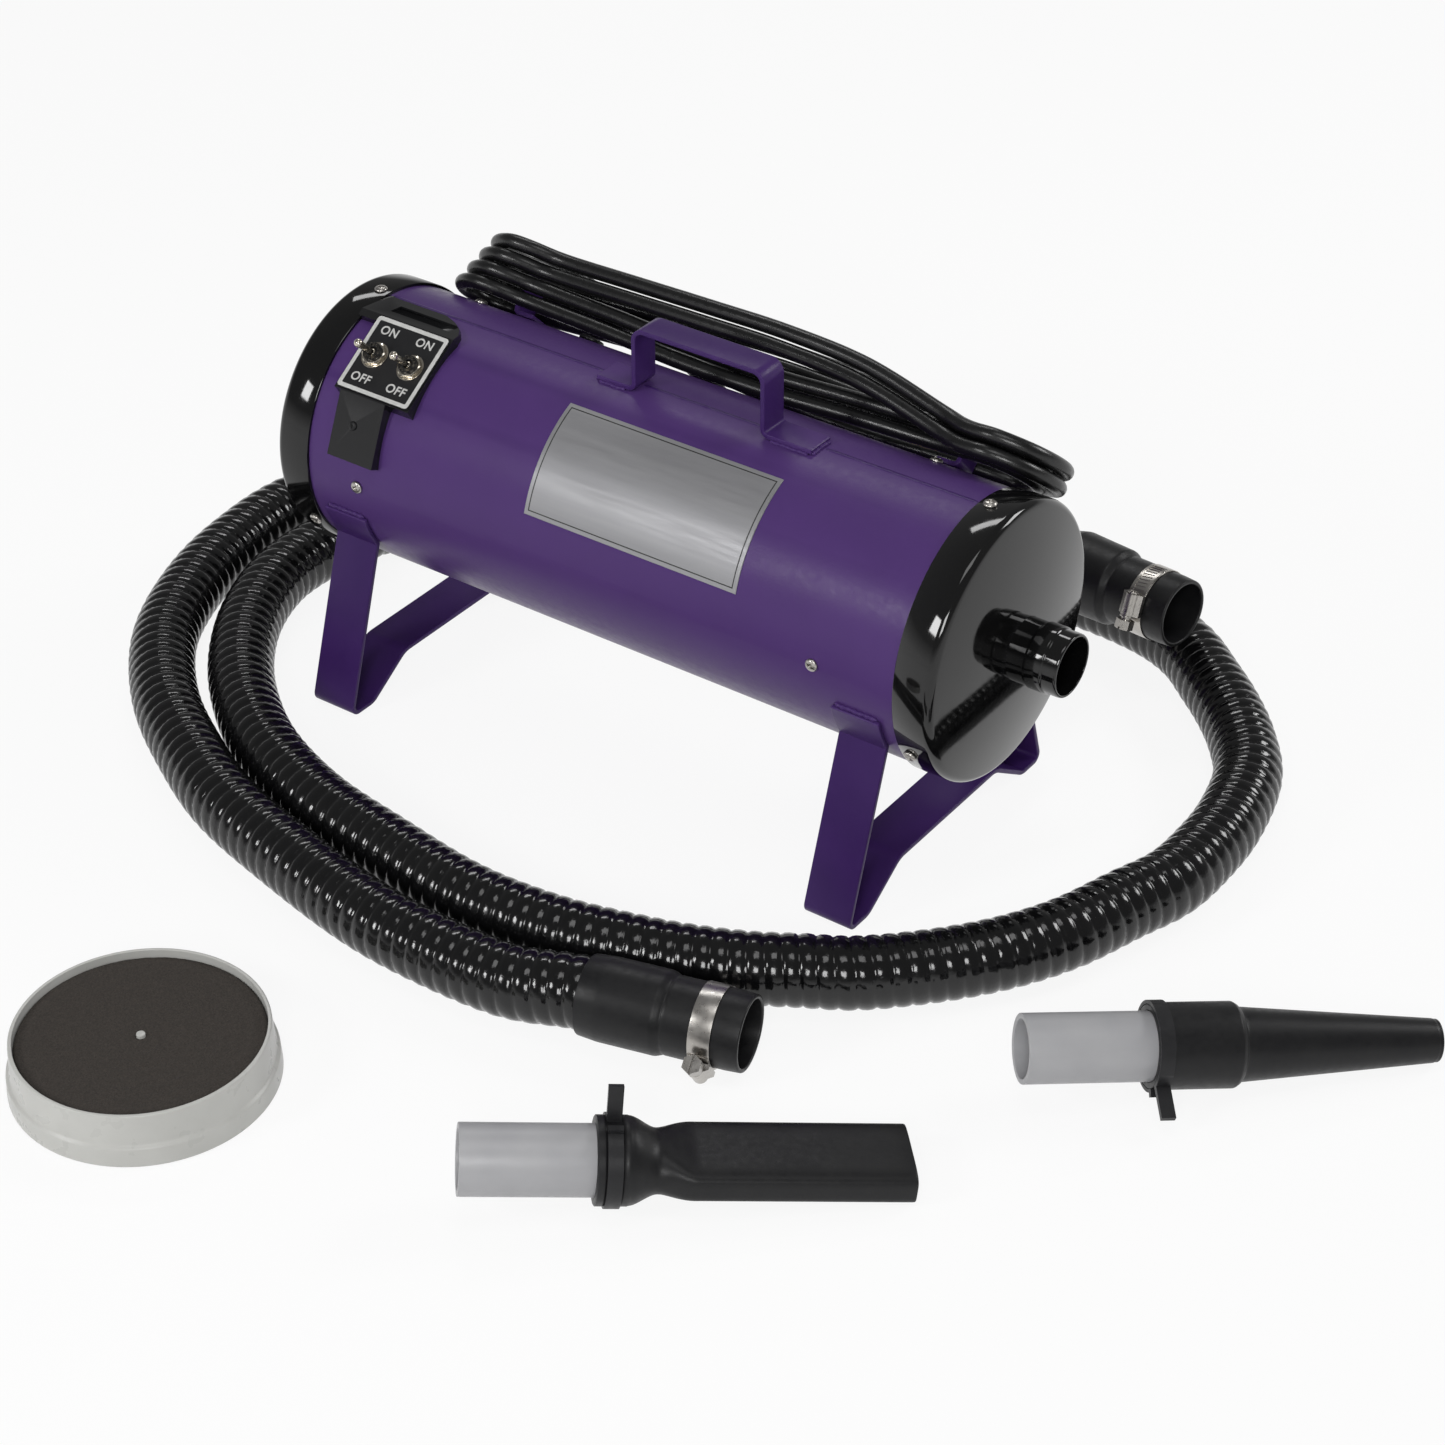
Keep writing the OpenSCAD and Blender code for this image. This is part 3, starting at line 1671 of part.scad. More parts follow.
// The flat nozzle's solid, drawn in by less at every side; it runs from collar to mouth
module flat_form(less, long) {
    hull() {
        round_slice(collar_end - 0.5, collar_od - 2 * less);
        flat_slice(neck_at, 38 - 2 * less, 27 - 2 * less);
    }
    hull() {
        flat_slice(neck_at, 38 - 2 * less, 27 - 2 * less);
        flat_slice(body_at, flat_w - 2 * less, flat_h - 2 * less);
    }
    hull() {
        flat_slice(body_at, flat_w - 2 * less, flat_h - 2 * less);
        flat_slice(long, flat_w - 2 * less, flat_h - 2 * less);
    }
}

module flat_nozzle() {
    color(satin_black) in_kit()
        flat_frame()
            difference() {
                union() {
                    rotate([0, 90, 0])
                        cylinder(d = collar_od, h = collar_end);
                    flat_form(0, flat_len + 4);
                }
                translate([-1, 0, 0])
                    rotate([0, 90, 0])
                        cylinder(d = tube_od + 2 * seat_gap, h = collar_end + 1);
                flat_form(flat_wall, flat_len + 8);
                translate([flat_len, 0, 0])
                    rotate([0, 0, -flat_slant])
                        translate([0, -flat_w, -flat_h])
                            cube([40, 2 * flat_w, 2 * flat_h]);
                clip_groove(flat_clip_at);
            }
}

// Shallow groove that a snap clip sits in
module clip_groove(at) {
    translate([at - seat_gap, 0, 0])
        rotate([0, 90, 0])
            ring(clip_od / 2 - clip_wall - seat_gap, clip_od, clip_w + 2 * seat_gap);
}

module cone_nozzle() {
    root = cone_root_d / 2;
    tip = cone_tip_d / 2;
    bore = tube_od / 2 + seat_gap;
    color(satin_black) in_kit()
        cone_frame()
            rotate([0, 90, 0])
                rotate_extrude()
                    polygon([
                        [bore, -clip_w], [clip_od / 2 - clip_wall - seat_gap, -clip_w],
                        [clip_od / 2 - clip_wall - seat_gap, 0], [collar_od / 2, 0],
                        [collar_od / 2, cone_collar - collar_edge],
                        [collar_od / 2 - collar_edge, cone_collar],
                        [root, cone_collar + 0.5], [tip, cone_len], [tip - cone_wall, cone_len],
                        [root - 3.2, tube_in + 8], [root - 3.2, tube_in + seat_gap],
                        [bore, tube_in + seat_gap]
                    ]);
}

module nozzle_tube(from, to) {
    color(tube_grey)
        translate([from, 0, 0])
            rotate([0, 90, 0])
                ring(tube_od / 2 - tube_wall, tube_od / 2, to - from);
}

module flat_nozzle_tube() {
    in_kit()
        flat_frame()
            nozzle_tube(-tube_out, collar_end - 1);
}

module cone_nozzle_tube() {
    in_kit()
        cone_frame()
            nozzle_tube(-tube_out - clip_w, tube_in);
}

// Open snap ring with a long thumb tab and a short toothed jaw beside it
module snap_clip(at, angle) {
    inner = clip_od / 2 - clip_wall;
    gap_angle = 16;
    jaw_h = 4;
    color(satin_black)
        translate([at, 0, 0])
            rotate([angle, 0, 0])
                rotate([0, 90, 0]) {
                    rotate([0, 0, 90 + gap_angle / 2])
                        rotate_extrude(angle = 360 - gap_angle)
                            translate([inner, 0])
                                square([clip_wall, clip_w]);
                    for (side = [-1, 1])
                        rotate([0, 0, 90 + side * (gap_angle / 2 + 4)])
                            translate([inner + 0.5, -1.6, 0])
                                cube([side < 0 ? clip_tab + clip_wall : jaw_h, 3.2, clip_w]);
                }
}

module flat_nozzle_clip() {
    in_kit()
        flat_frame()
            snap_clip(flat_clip_at, flat_clip_angle);
}

module cone_nozzle_clip() {
    in_kit()
        cone_frame()
            snap_clip(-clip_w, cone_clip_angle);
}

// ---- Intake filter ----

module filter_pan() {
    r = pan_d / 2;
    rim = r - 4;
    color(pan_white) in_kit()
        translate([filter_at.x, filter_at.y, 0]) {
            rotate_extrude()
                polygon([
                    [0, 0], [r - 1, 0], [r, 1], [r - 0.6, pan_ledge_h - 1.5], [r - 2.6, pan_ledge_h],
                    [rim, pan_h - 0.6], [rim - 0.6, pan_h], [rim - pan_wall, pan_h],
                    [rim - pan_wall, pan_wall], [0, pan_wall]
                ]);
            cylinder(d = peg_d, h = foam_top + 1.2);
        }
}

module filter_foam() {
    r = pan_d / 2 - 4 - pan_wall - soft_gap;
    color(foam_brown) in_kit()
        translate([filter_at.x, filter_at.y, pan_wall + soft_gap])
            ring(peg_d / 2 + soft_gap, r, foam_top - pan_wall - soft_gap);
}

// Least distance between two parts of a cord that lie more than skip points apart
function self_gap(p, skip, thick) =
    min([
        for (i = [0:len(p) - 1])
            for (j = [i + skip:1:len(p) - 1]) norm(p[j] - p[i])
    ]) - thick;

cord_gap_points = [for (d = [0:4:cord_length]) point_at(cord_line, cord_runs, d)];
echo(cord_length = cord_length, cord_gap = self_gap(cord_gap_points, 14, cord_od));
hose_gap_points = [for (d = [0:10:hose_length]) point_at(hose_fine, hose_runs, d)];
echo(hose_length = hose_length, hose_gap = self_gap(hose_gap_points, 12, hose_od));
echo(kit_middle = kit_middle, axis_h = axis_h);

shell();
front_cap();
outlet_spigot();
rear_cap();
front_cap_screws();
rear_cap_screws();
motor_mount_screws();
heater_mount_screws();
front_stand();
rear_stand();
carry_handle();
name_plate();
rear_cord_hook();
front_cord_hook();
cord_gland();
mains_cord();
mains_plug();
plug_blades();
switch_housing();
switch_plate();
housing_screw();
motor_toggle_body();
heat_toggle_body();
toggle_nuts();
motor_toggle_lever();
heat_toggle_lever();
motor_ring();
motor_gasket();
fan_case();
guide_vanes();
impellers();
motor_frame();
field_core();
motor_shaft();
armature();
commutator();
bearings();
brush_holders();
brushes();
heater_ring();
mica_boards();
heater_coil();
thermostat();
hose();
nozzle_cuff();
machine_cuff();
nozzle_cuff_clamp();
machine_cuff_clamp();
nozzle_cuff_screw();
machine_cuff_screw();
flat_nozzle();
flat_nozzle_tube();
flat_nozzle_clip();
cone_nozzle();
cone_nozzle_tube();
cone_nozzle_clip();
filter_pan();
filter_foam();
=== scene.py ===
"""Looks for the hot-air blower dryer kit, in metres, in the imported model's frame.
"""

import json
import math
from itertools import accumulate

import bmesh
import bpy
from mathutils import Matrix, Vector, noise

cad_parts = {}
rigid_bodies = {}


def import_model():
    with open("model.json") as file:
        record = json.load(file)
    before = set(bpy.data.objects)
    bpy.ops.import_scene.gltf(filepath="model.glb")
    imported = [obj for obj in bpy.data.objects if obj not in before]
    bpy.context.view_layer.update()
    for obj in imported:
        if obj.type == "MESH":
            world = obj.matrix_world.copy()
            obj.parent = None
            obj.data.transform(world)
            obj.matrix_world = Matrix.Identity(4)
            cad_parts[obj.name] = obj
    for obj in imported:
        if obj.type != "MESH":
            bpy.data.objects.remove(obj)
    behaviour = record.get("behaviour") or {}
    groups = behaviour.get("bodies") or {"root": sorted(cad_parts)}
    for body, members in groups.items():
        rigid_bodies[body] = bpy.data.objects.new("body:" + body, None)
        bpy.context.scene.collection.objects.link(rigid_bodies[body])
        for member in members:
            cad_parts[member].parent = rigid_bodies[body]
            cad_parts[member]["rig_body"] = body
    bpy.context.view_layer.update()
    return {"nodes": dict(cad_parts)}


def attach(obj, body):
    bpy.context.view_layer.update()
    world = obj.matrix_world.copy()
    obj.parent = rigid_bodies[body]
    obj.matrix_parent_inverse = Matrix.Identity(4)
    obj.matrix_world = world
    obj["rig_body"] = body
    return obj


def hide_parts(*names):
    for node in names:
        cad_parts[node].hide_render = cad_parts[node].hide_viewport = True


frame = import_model()
bpy.context.scene.view_settings.view_transform = "Standard"


def add_object(name, data):
    obj = bpy.data.objects.new(name, data)
    bpy.context.scene.collection.objects.link(obj)
    return obj


# ---- Sizes from the part's source, in millimetres ----

MM = 0.001
KIT_MIDDLE = Vector((142.525, -197.75, 0.0))
SHELL_R = 82.55
AXIS_H = 155.55
CAP_EDGE = 212.0
SHELL_END = 228.0
CAP_FACE = 244.5
SPIGOT_MOUTH = 277.0
STAND_X = 186.5
SWITCH_X, SWITCH_ANGLE, SWITCH_FACE = -169.0, 123.0, 87.05
SWITCH_LEN, SWITCH_WIDE, SWITCH_T, SWITCH_DOWN = 55.0, 51.6, 1.2, 1.8
TOGGLE_GAP = 27.4
HOOK_ANGLE = 45.0
REAR_HOOK_X, FRONT_HOOK_X = -157.0, 165.0
GLAND_X, GLAND_SLEEVE, GLAND_TURN_N = -103.0, 33.0, SHELL_R + 9.5
CORD_OD = 9.5
CORD_R = CORD_OD / 2
HOSE_OD = 42.0
CUFF_LEN = 95.0
CLAMP_AT, CLAMP_W = 73.0, 12.7
TUBE_R = 19.05
FILTER_AT = (-39.3, -428.5)


# ---- Places, in the blower's own frame ----


def polar(r, degrees):
    a = math.radians(degrees)
    return r * math.cos(a), r * math.sin(a)


def arc(r, start, end, steps):
    """Points on a circle round the origin, angles in degrees."""
    return [polar(r, start + (end - start) * k / steps) for k in range(steps + 1)]


def ring_of(r, count, first=0.0):
    """That many points, evenly round a circle."""
    return arc(r, first, first + 360, count)[:-1]


def move(x, y, z):
    return Matrix.Translation((x, y, z))


def turn(axis, degrees):
    return Matrix.Rotation(math.radians(degrees), 4, axis)


KIT = Matrix.Scale(MM, 4) @ Matrix.Translation(-KIT_MIDDLE)


def along_axis(x):
    """Local Z along the blower's axis."""
    return move(x, 0, AXIS_H) @ turn("Y", 90)


def on_tube(x, angle, r):
    """The point at r from the blower's axis."""
    y, z = polar(r, angle)
    return x, y, AXIS_H + z


def radial(x, angle, r):
    """A frame at that point, local Z straight out of the tube, local X along its axis."""
    return move(x, 0, AXIS_H) @ turn("X", angle) @ move(0, r, 0) @ turn("X", -90)


def cuff_frame(mouth, yaw, pitch):
    """Local Z down a cuff, from the hose's end to its mouth."""
    return move(*mouth) @ turn("Z", yaw) @ turn("Y", 90 - pitch) @ move(0, 0, -CUFF_LEN)


def nozzle_frame(at, z, yaw, lean):
    """Local X down a nozzle, starting at its collar."""
    return move(at[0], at[1], z) @ turn("Z", yaw) @ turn("Y", lean)


NOZZLE_CUFF_MOUTH, NOZZLE_CUFF_YAW = Vector((224, -234.5, 24.6)), 14.8
MACHINE_CUFF_MOUTH, MACHINE_CUFF_YAW, MACHINE_CUFF_PITCH = Vector((238.4, 211.2, 64.7)), -8.4, 3.0
SWITCH = radial(SWITCH_X, SWITCH_ANGLE, SWITCH_FACE)
NOZZLE_CUFF = cuff_frame(NOZZLE_CUFF_MOUTH, NOZZLE_CUFF_YAW, 0)
MACHINE_CUFF = cuff_frame(MACHINE_CUFF_MOUTH, MACHINE_CUFF_YAW, MACHINE_CUFF_PITCH)
NOZZLE_CLAMP = NOZZLE_CUFF @ turn("Z", -55) @ move(0, 0, CLAMP_AT)
MACHINE_CLAMP = MACHINE_CUFF @ turn("Z", -112) @ move(0, 0, CLAMP_AT) @ turn("X", 180)
FLAT = nozzle_frame((216.7, -364.2), 25.9603, 41, 5.65484)
CONE = nozzle_frame((410.8, -117.4), 27.264, 43.9, 5.71059)


# ---- Materials ----


def srgb(r, g, b):
    """A colour as it looks, from 0 to 255, for a shader's socket."""
    parts = [c / 255 for c in (r, g, b)]
    return [c / 12.92 if c <= 0.04045 else ((c + 0.055) / 1.055) ** 2.4 for c in parts] + [1.0]


def texture(tree, coords, kind, scale, stretch=None, detail=4.0):
    """The value of a procedural texture of that scale, per metre."""
    if stretch:
        mapping = tree.nodes.new("ShaderNodeMapping")
        mapping.inputs["Scale"].default_value = stretch
        tree.links.new(coords, mapping.inputs["Vector"])
        coords = mapping.outputs["Vector"]
    if kind == "cells":
        node = tree.nodes.new("ShaderNodeTexVoronoi")
        out = node.outputs["Distance"]
    else:
        node = tree.nodes.new("ShaderNodeTexNoise")
        node.inputs["Detail"].default_value = detail
        out = node.outputs["Fac"]
    node.inputs["Scale"].default_value = scale
    tree.links.new(coords, node.inputs["Vector"])
    return out


def spread(tree, value, low, high, start=0.3, end=0.7):
    """That value, mapped to run from low to high."""
    node = tree.nodes.new("ShaderNodeMapRange")
    for name, number in (("From Min", start), ("From Max", end), ("To Min", low), ("To Max", high)):
        node.inputs[name].default_value = number
    tree.links.new(value, node.inputs["Value"])
    return node.outputs["Result"]


def surface(
    name, color, tint, rough, rough_spread, tint_scale, rough_scale, grain, pores=None,
    stretch=None, edge=None, metal=0.0, specular=0.5,
):
    """A material with two tones, uneven roughness, grain, and lighter worn edges.

    Scales are per metre. grain lists (scale, height in metres) of bumps, pores is one such pair
    for a pattern of cells under them, and edge is the colour of the wear.
    """
    mat = bpy.data.materials.new(name)
    mat.use_nodes = True
    tree = mat.node_tree
    new, link = tree.nodes.new, tree.links.new
    shader = tree.nodes["Principled BSDF"]
    shader.inputs["Metallic"].default_value = metal
    shader.inputs["Specular IOR Level"].default_value = specular
    coords = new("ShaderNodeTexCoord").outputs["Object"]

    def blend_colors(start, end, share):
        mix_node = new("ShaderNodeMix")
        mix_node.data_type = "RGBA"
        if isinstance(start, tuple):
            mix_node.inputs["A"].default_value = srgb(*start)
        else:
            link(start, mix_node.inputs["A"])
        mix_node.inputs["B"].default_value = srgb(*end)
        link(share, mix_node.inputs["Factor"])
        return mix_node.outputs["Result"]

    shown = blend_colors(
        color, tint, spread(tree, texture(tree, coords, "noise", tint_scale, stretch), 0.0, 1.0)
    )
    if edge:
        sharp = new("ShaderNodeNewGeometry").outputs["Pointiness"]
        shown = blend_colors(shown, edge, spread(tree, sharp, 0.0, 0.5, 0.52, 0.6))
    link(shown, shader.inputs["Base Color"])
    uneven = texture(tree, coords, "noise", rough_scale, stretch)
    link(
        spread(tree, uneven, rough - rough_spread, rough + rough_spread),
        shader.inputs["Roughness"],
    )
    normal = None
    bumps = [("cells", *pores)] if pores else []
    for kind, scale, height in bumps + [("noise", *pair) for pair in grain]:
        bump = new("ShaderNodeBump")
        bump.inputs["Distance"].default_value = height
        link(texture(tree, coords, kind, scale, stretch, 2.0), bump.inputs["Height"])
        if normal:
            link(normal, bump.inputs["Normal"])
        normal = bump.outputs["Normal"]
    link(normal, shader.inputs["Normal"])
    return mat


SLOTS = {
    "purple_paint": surface(
        "powder_coat", (61, 36, 94), (55, 32, 87), 0.34, 0.05, 30, 220,
        [(620, 4.5e-5), (2600, 1.6e-5)], edge=(92, 66, 124), specular=0.15
    ),
    "black_gloss": surface(
        "black_enamel", (10, 10, 11), (14, 14, 14), 0.07, 0.025, 25, 120, [(60, 6e-6)],
        edge=(36, 36, 38)
    ),
    "black_satin": surface(
        "moulded_black", (19, 19, 21), (25, 25, 26), 0.42, 0.06, 60, 300,
        [(900, 2e-5), (3500, 1e-5)], edge=(40, 40, 42), specular=0.3
    ),
    "black_rubber": surface(
        "soft_black", (15, 15, 17), (22, 22, 24), 0.36, 0.06, 50, 250, [(1300, 2e-5)]
    ),
    "zinc_steel": surface(
        "zinc_plate", (186, 182, 176), (172, 169, 165), 0.3, 0.05, 60, 260, [(700, 5e-6)],
        metal=1.0
    ),
    "nickel": surface(
        "nickel_plate", (206, 198, 184), (186, 180, 168), 0.18, 0.05, 160, 600, [(900, 8e-6)],
        metal=1.0
    ),
    "silver_plate": surface(
        "brushed_plate", (160, 160, 162), (142, 142, 145), 0.45, 0.06, 60, 400, [(1800, 8e-6)],
        stretch=(0.06, 1.0, 1.0), metal=0.55
    ),
    "grey_tube": surface(
        "grey_pvc", (166, 166, 168), (158, 158, 161), 0.4, 0.05, 40, 260, [(700, 1.2e-5)],
        edge=(196, 196, 198)
    ),
    "white_pan": surface(
        "milky_plastic", (192, 192, 188), (183, 183, 179), 0.3, 0.05, 30, 90, [(90, 4e-6)],
        specular=0.35
    ),
    "brown_foam": surface(
        "filter_foam_cells", (60, 54, 49), (47, 43, 39), 0.95, 0.04, 900, 900, [(1600, 2e-4)],
        pores=(700, 4e-4)
    ),
    "copper": surface(
        "copper_wire", (184, 115, 51), (150, 88, 40), 0.35, 0.08, 120, 400, [(1200, 3e-5)],
        metal=1.0
    ),
    "iron": surface(
        "cast_iron", (96, 97, 100), (76, 77, 80), 0.5, 0.1, 150, 300, [(700, 6e-5)], metal=1.0
    ),
    "brass": surface(
        "brass_plate", (196, 160, 92), (176, 138, 76), 0.28, 0.07, 150, 500, [(1000, 1.5e-5)],
        metal=1.0
    ),
    "mica": surface(
        "mica_sheet", (190, 172, 140), (166, 146, 112), 0.45, 0.1, 200, 300, [(500, 4e-5)]
    ),
    "carbon": surface(
        "carbon_block", (38, 38, 40), (52, 52, 54), 0.6, 0.08, 300, 500, [(1500, 3e-5)]
    ),
}
HOSE_BLACK = surface(
    "hose_black", (8, 8, 9), (14, 14, 15), 0.13, 0.05, 70, 260, [(420, 9e-5), (160, 1.2e-4)]
)
CORD_BLACK = surface(
    "cord_jacket", (12, 12, 13), (18, 18, 19), 0.3, 0.06, 60, 300, [(1400, 2e-5)]
)
WHITE_PRINT = surface(
    "white_print", (206, 206, 204), (190, 190, 188), 0.5, 0.06, 300, 600, [(2000, 8e-6)]
)
DARK_PRINT = surface(
    "dark_print", (30, 30, 30), (44, 44, 44), 0.5, 0.06, 300, 600, [(2000, 8e-6)]
)
for node_object in frame["nodes"].values():
    for material_slot in node_object.material_slots:
        material_slot.material = SLOTS[material_slot.material.name.split(".")[0]]


# ---- Mesh tools ----


def finish_mesh(name, bm, slot, nodes, body, mat, place, sharp, bevel):
    """Makes bm, drawn in millimetres, a piece that stands for the nodes.

    It rides on the body, or else on the first node's, or else on the machine.
    """
    if bevel:
        corners = [
            e for e in bm.edges
            if len(e.link_faces) == 2 and e.calc_face_angle(0) > math.radians(sharp)
        ]
        bmesh.ops.bevel(
            bm, geom=corners, offset=bevel, segments=3, profile=0.5,
            affect="EDGES", clamp_overlap=True,
        )
    bmesh.ops.recalc_face_normals(bm, faces=bm.faces)
    for f in bm.faces:
        f.smooth = True
    for e in bm.edges:
        e.smooth = len(e.link_faces) == 2 and e.calc_face_angle(0) < math.radians(sharp)
    bm.transform(KIT @ place)
    mesh = bpy.data.meshes.new(name)
    bm.to_mesh(mesh)
    bm.free()
    obj = add_object(name, mesh)
    mesh.materials.append(mat or SLOTS[slot])
    if bevel:
        even = obj.modifiers.new("even", "WEIGHTED_NORMAL")
        even.keep_sharp = True
    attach(obj, body or (frame["nodes"][nodes[0]]["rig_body"] if nodes else "machine"))
    if nodes:
        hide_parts(*nodes)
    return obj


def mesh_of(parts):
    bm = bmesh.new()
    for points, faces in parts:
        made = [bm.verts.new(p) for p in points]
        for face in faces:
            bm.faces.new([made[i] for i in face])
    return bm


def piece(
    name, parts, slot, nodes=(), body=None, mat=None, place=Matrix.Identity(4), sharp=35, bevel=0
):
    """A piece from (points, faces) in millimetres, or from a list of them."""
    bm = mesh_of(parts if isinstance(parts, list) else [parts])
    return finish_mesh(name, bm, slot, nodes, body, mat, place, sharp, bevel)


def placed(part, place):
    points, faces = part
    return [place @ Vector(p) for p in points], faces


def rings_part(rings, closed=False, caps=True):
    """Skin over rings of equally many points. closed joins the last ring to the first."""
    count = len(rings[0])
    points = [p for ring in rings for p in ring]
    faces = []
    for i in range(len(rings) if closed else len(rings) - 1):
        for k in range(count):
            a, b = i * count + k, i * count + (k + 1) % count
            c = (i + 1) % len(rings) * count
            faces.append((a, b, c + (k + 1) % count, c + k))
    if caps and not closed:
        faces.append(tuple(range(count))[::-1])
        faces.append(tuple(range((len(rings) - 1) * count, len(rings) * count)))
    return points, faces


def revolve(profile, sides=128, start=0.0, end=360.0):
    """Turns a closed profile of (radius, height) points round local Z."""
    whole = end - start >= 360
    count = sides if whole else sides + 1
    points, index = [], []
    for r, z in profile:
        if r < 1e-6:
            index.append([len(points)] * count)
            points.append((0, 0, z))
        else:
            index.append(list(range(len(points), len(points) + count)))
            points += [(x, y, z) for x, y in arc(r, start, end, sides)[:count]]
    faces = []
    for i in range(len(profile)):
        near, far = index[i], index[(i + 1) % len(profile)]
        for k in range(sides):
            j = (k + 1) % count
            face = []
            for v in (near[k], near[j], far[j], far[k]):
                if v not in face:
                    face.append(v)
            if len(face) > 2:
                faces.append(face)
    if not whole:
        faces.append([ring[0] for ring in index])
        faces.append([ring[-1] for ring in index][::-1])
    return points, faces


def softened(profile, r, steps=4, keep=()):
    """A closed profile whose corners are rounded by about r, but for the corners in keep."""
    out = []
    for i, here in enumerate(profile):
        here = Vector(here)
        before, after = Vector(profile[i - 1]), Vector(profile[(i + 1) % len(profile)])
        cut = min(r, (before - here).length * 0.45, (after - here).length * 0.45)
        if i in keep or cut < 1e-4:
            out.append(tuple(here))
            continue
        a = here + (before - here).normalized() * cut
        b = here + (after - here).normalized() * cut
        for k in range(steps + 1):
            s = k / steps
            out.append(tuple(a * (1 - s) ** 2 + here * 2 * s * (1 - s) + b * s * s))
    return out


def turned(profile, r, steps=4, sides=128, keep=()):
    return revolve(softened(profile, r, steps, keep), sides)


def fillet(a, b, c, r, steps):
    """Points of the arc that rounds corner b between a and c."""
    a, b, c = Vector(a), Vector(b), Vector(c)
    u, v = (a - b).normalized(), (c - b).normalized()
    half = u.angle(v) / 2
    middle = b + (u + v).normalized() * r / math.sin(half)
    first = b + u * r / math.tan(half) - middle
    last = b + v * r / math.tan(half) - middle
    start = math.atan2(first.y, first.x)
    swing = math.atan2(last.y, last.x) - start
    swing -= 2 * math.pi * round(swing / (2 * math.pi))
    start, swing = math.degrees(start), math.degrees(swing)
    return [middle + Vector(q) for q in arc(r, start, start + swing, steps)]


def rounded(path, radii, steps=(8, 8, 8, 8)):
    """A path whose inner corners are rounded, each by its own radius in its own steps."""
    out = [Vector(path[0])]
    for a, b, c, r, count in zip(path, path[1:], path[2:], radii, steps):
        out += fillet(a, b, c, r, count)
    return out + [Vector(path[-1])]


def round_rectangle(long, wide, r, steps=6):
    out = []
    for sx, sy, start in ((1, 1, 0), (-1, 1, 90), (-1, -1, 180), (1, -1, 270)):
        middle_x, middle_y = sx * (long / 2 - r), sy * (wide / 2 - r)
        out += [(middle_x + x, middle_y + y) for x, y in arc(r, start, start + 90, steps)]
    return out


def strap(path, thick, wide, edge=0.6):
    """A strap with rounded edges along a flat path, in its local XY, its width along Z."""
    path = [Vector(p) for p in path]
    section = round_rectangle(thick, wide, edge, 3)
    rings = []
    for i, here in enumerate(path):
        before = (here - path[i - 1]).normalized() if i else (path[1] - here).normalized()
        after = (path[i + 1] - here).normalized() if i < len(path) - 1 else before
        way = (before + after).normalized()
        side = Vector((-way.y, way.x))
        wider = 1 / max(0.5, side.dot(Vector((-after.y, after.x))))
        rings.append([
            (here.x + side.x * u * wider, here.y + side.y * u * wider, v) for u, v in section
        ])
    less, lower = 1 - 2 * edge / thick, 1 - 2 * edge / wide
    for end, inner, tip_at in ((0, 1, 0), (-1, -2, len(path) + 1)):
        here = path[end]
        back = (path[inner] - here).normalized() * edge
        tip = [((x - here.x) * less + here.x, (y - here.y) * less + here.y, z * lower)
               for x, y, z in rings[end]]
        rings[end] = [(x + back.x, y + back.y, z) for x, y, z in rings[end]]
        rings.insert(tip_at, tip)
    return rings_part(rings)


def box_part(low, high):
    xs, ys, zs = zip(low, high)
    points = [(x, y, z) for x in xs for y in ys for z in zs]
    faces = [(0, 1, 3, 2), (4, 6, 7, 5), (0, 4, 5, 1), (2, 3, 7, 6), (0, 2, 6, 4), (1, 5, 7, 3)]
    return points, faces


def prism(outline, low, high):
    """A flat outline, drawn up from low to high."""
    return rings_part([[(x, y, low) for x, y in outline], [(x, y, high) for x, y in outline]])


def smooth_route(p, steps):
    """A smooth curve through all but the first and last point."""
    p = [Vector(q) for q in p]
    out = []
    for i in range(1, len(p) - 2):
        a, b, c, d = p[i - 1:i + 3]
        for j in range(steps):
            s = j / steps
            out.append(0.5 * (
                2 * b + (c - a) * s + (2 * a - 5 * b + 4 * c - d) * s ** 2
                + (3 * b - a - 3 * c + d) * s ** 3
            ))
    return out + [p[-2]]


def even_steps(p, step):
    """Points a step apart along a route, and the route's length."""
    runs = list(accumulate(((b - a).length for a, b in zip(p, p[1:])), initial=0.0))
    count = max(2, round(runs[-1] / step))
    out, i = [], 0
    for k in range(count + 1):
        d = runs[-1] * k / count
        while i < len(p) - 2 and runs[i + 1] < d:
            i += 1
        out.append(p[i].lerp(p[i + 1], (d - runs[i]) / (runs[i + 1] - runs[i])))
    return out, runs[-1]


def tube_rings(p, radius, sides):
    """Rings round a route, without twist. radius takes (index, share of a turn)."""
    rings, top = [], Vector((0, 0, 1))
    for i, here in enumerate(p):
        way = (p[min(i + 1, len(p) - 1)] - p[max(i - 1, 0)]).normalized()
        side = way.cross(top).normalized()
        top = side.cross(way)
        rings.append([
            here + radius(i, k / sides) * (x * side + y * top)
            for k, (x, y) in enumerate(ring_of(1, sides))
        ])
    return rings


def settled_mesh(obj):
    """A mesh of the object with its modifiers or letters worked out."""
    return bpy.data.meshes.new_from_object(
        obj.evaluated_get(bpy.context.evaluated_depsgraph_get())
    )


def apply_cut(obj, cutter):
    """Cuts one part out of obj's mesh."""
    points, faces = cutter
    mesh = bpy.data.meshes.new("cut")
    mesh.from_pydata([tuple(p) for p in points], [], faces)
    tool = add_object("cut", mesh)
    cut = obj.modifiers.new("cut", "BOOLEAN")
    cut.object, cut.operation, cut.solver = tool, "DIFFERENCE", "EXACT"
    done = settled_mesh(obj)
    obj.modifiers.remove(cut)
    obj.data = done
    bpy.data.objects.remove(tool)


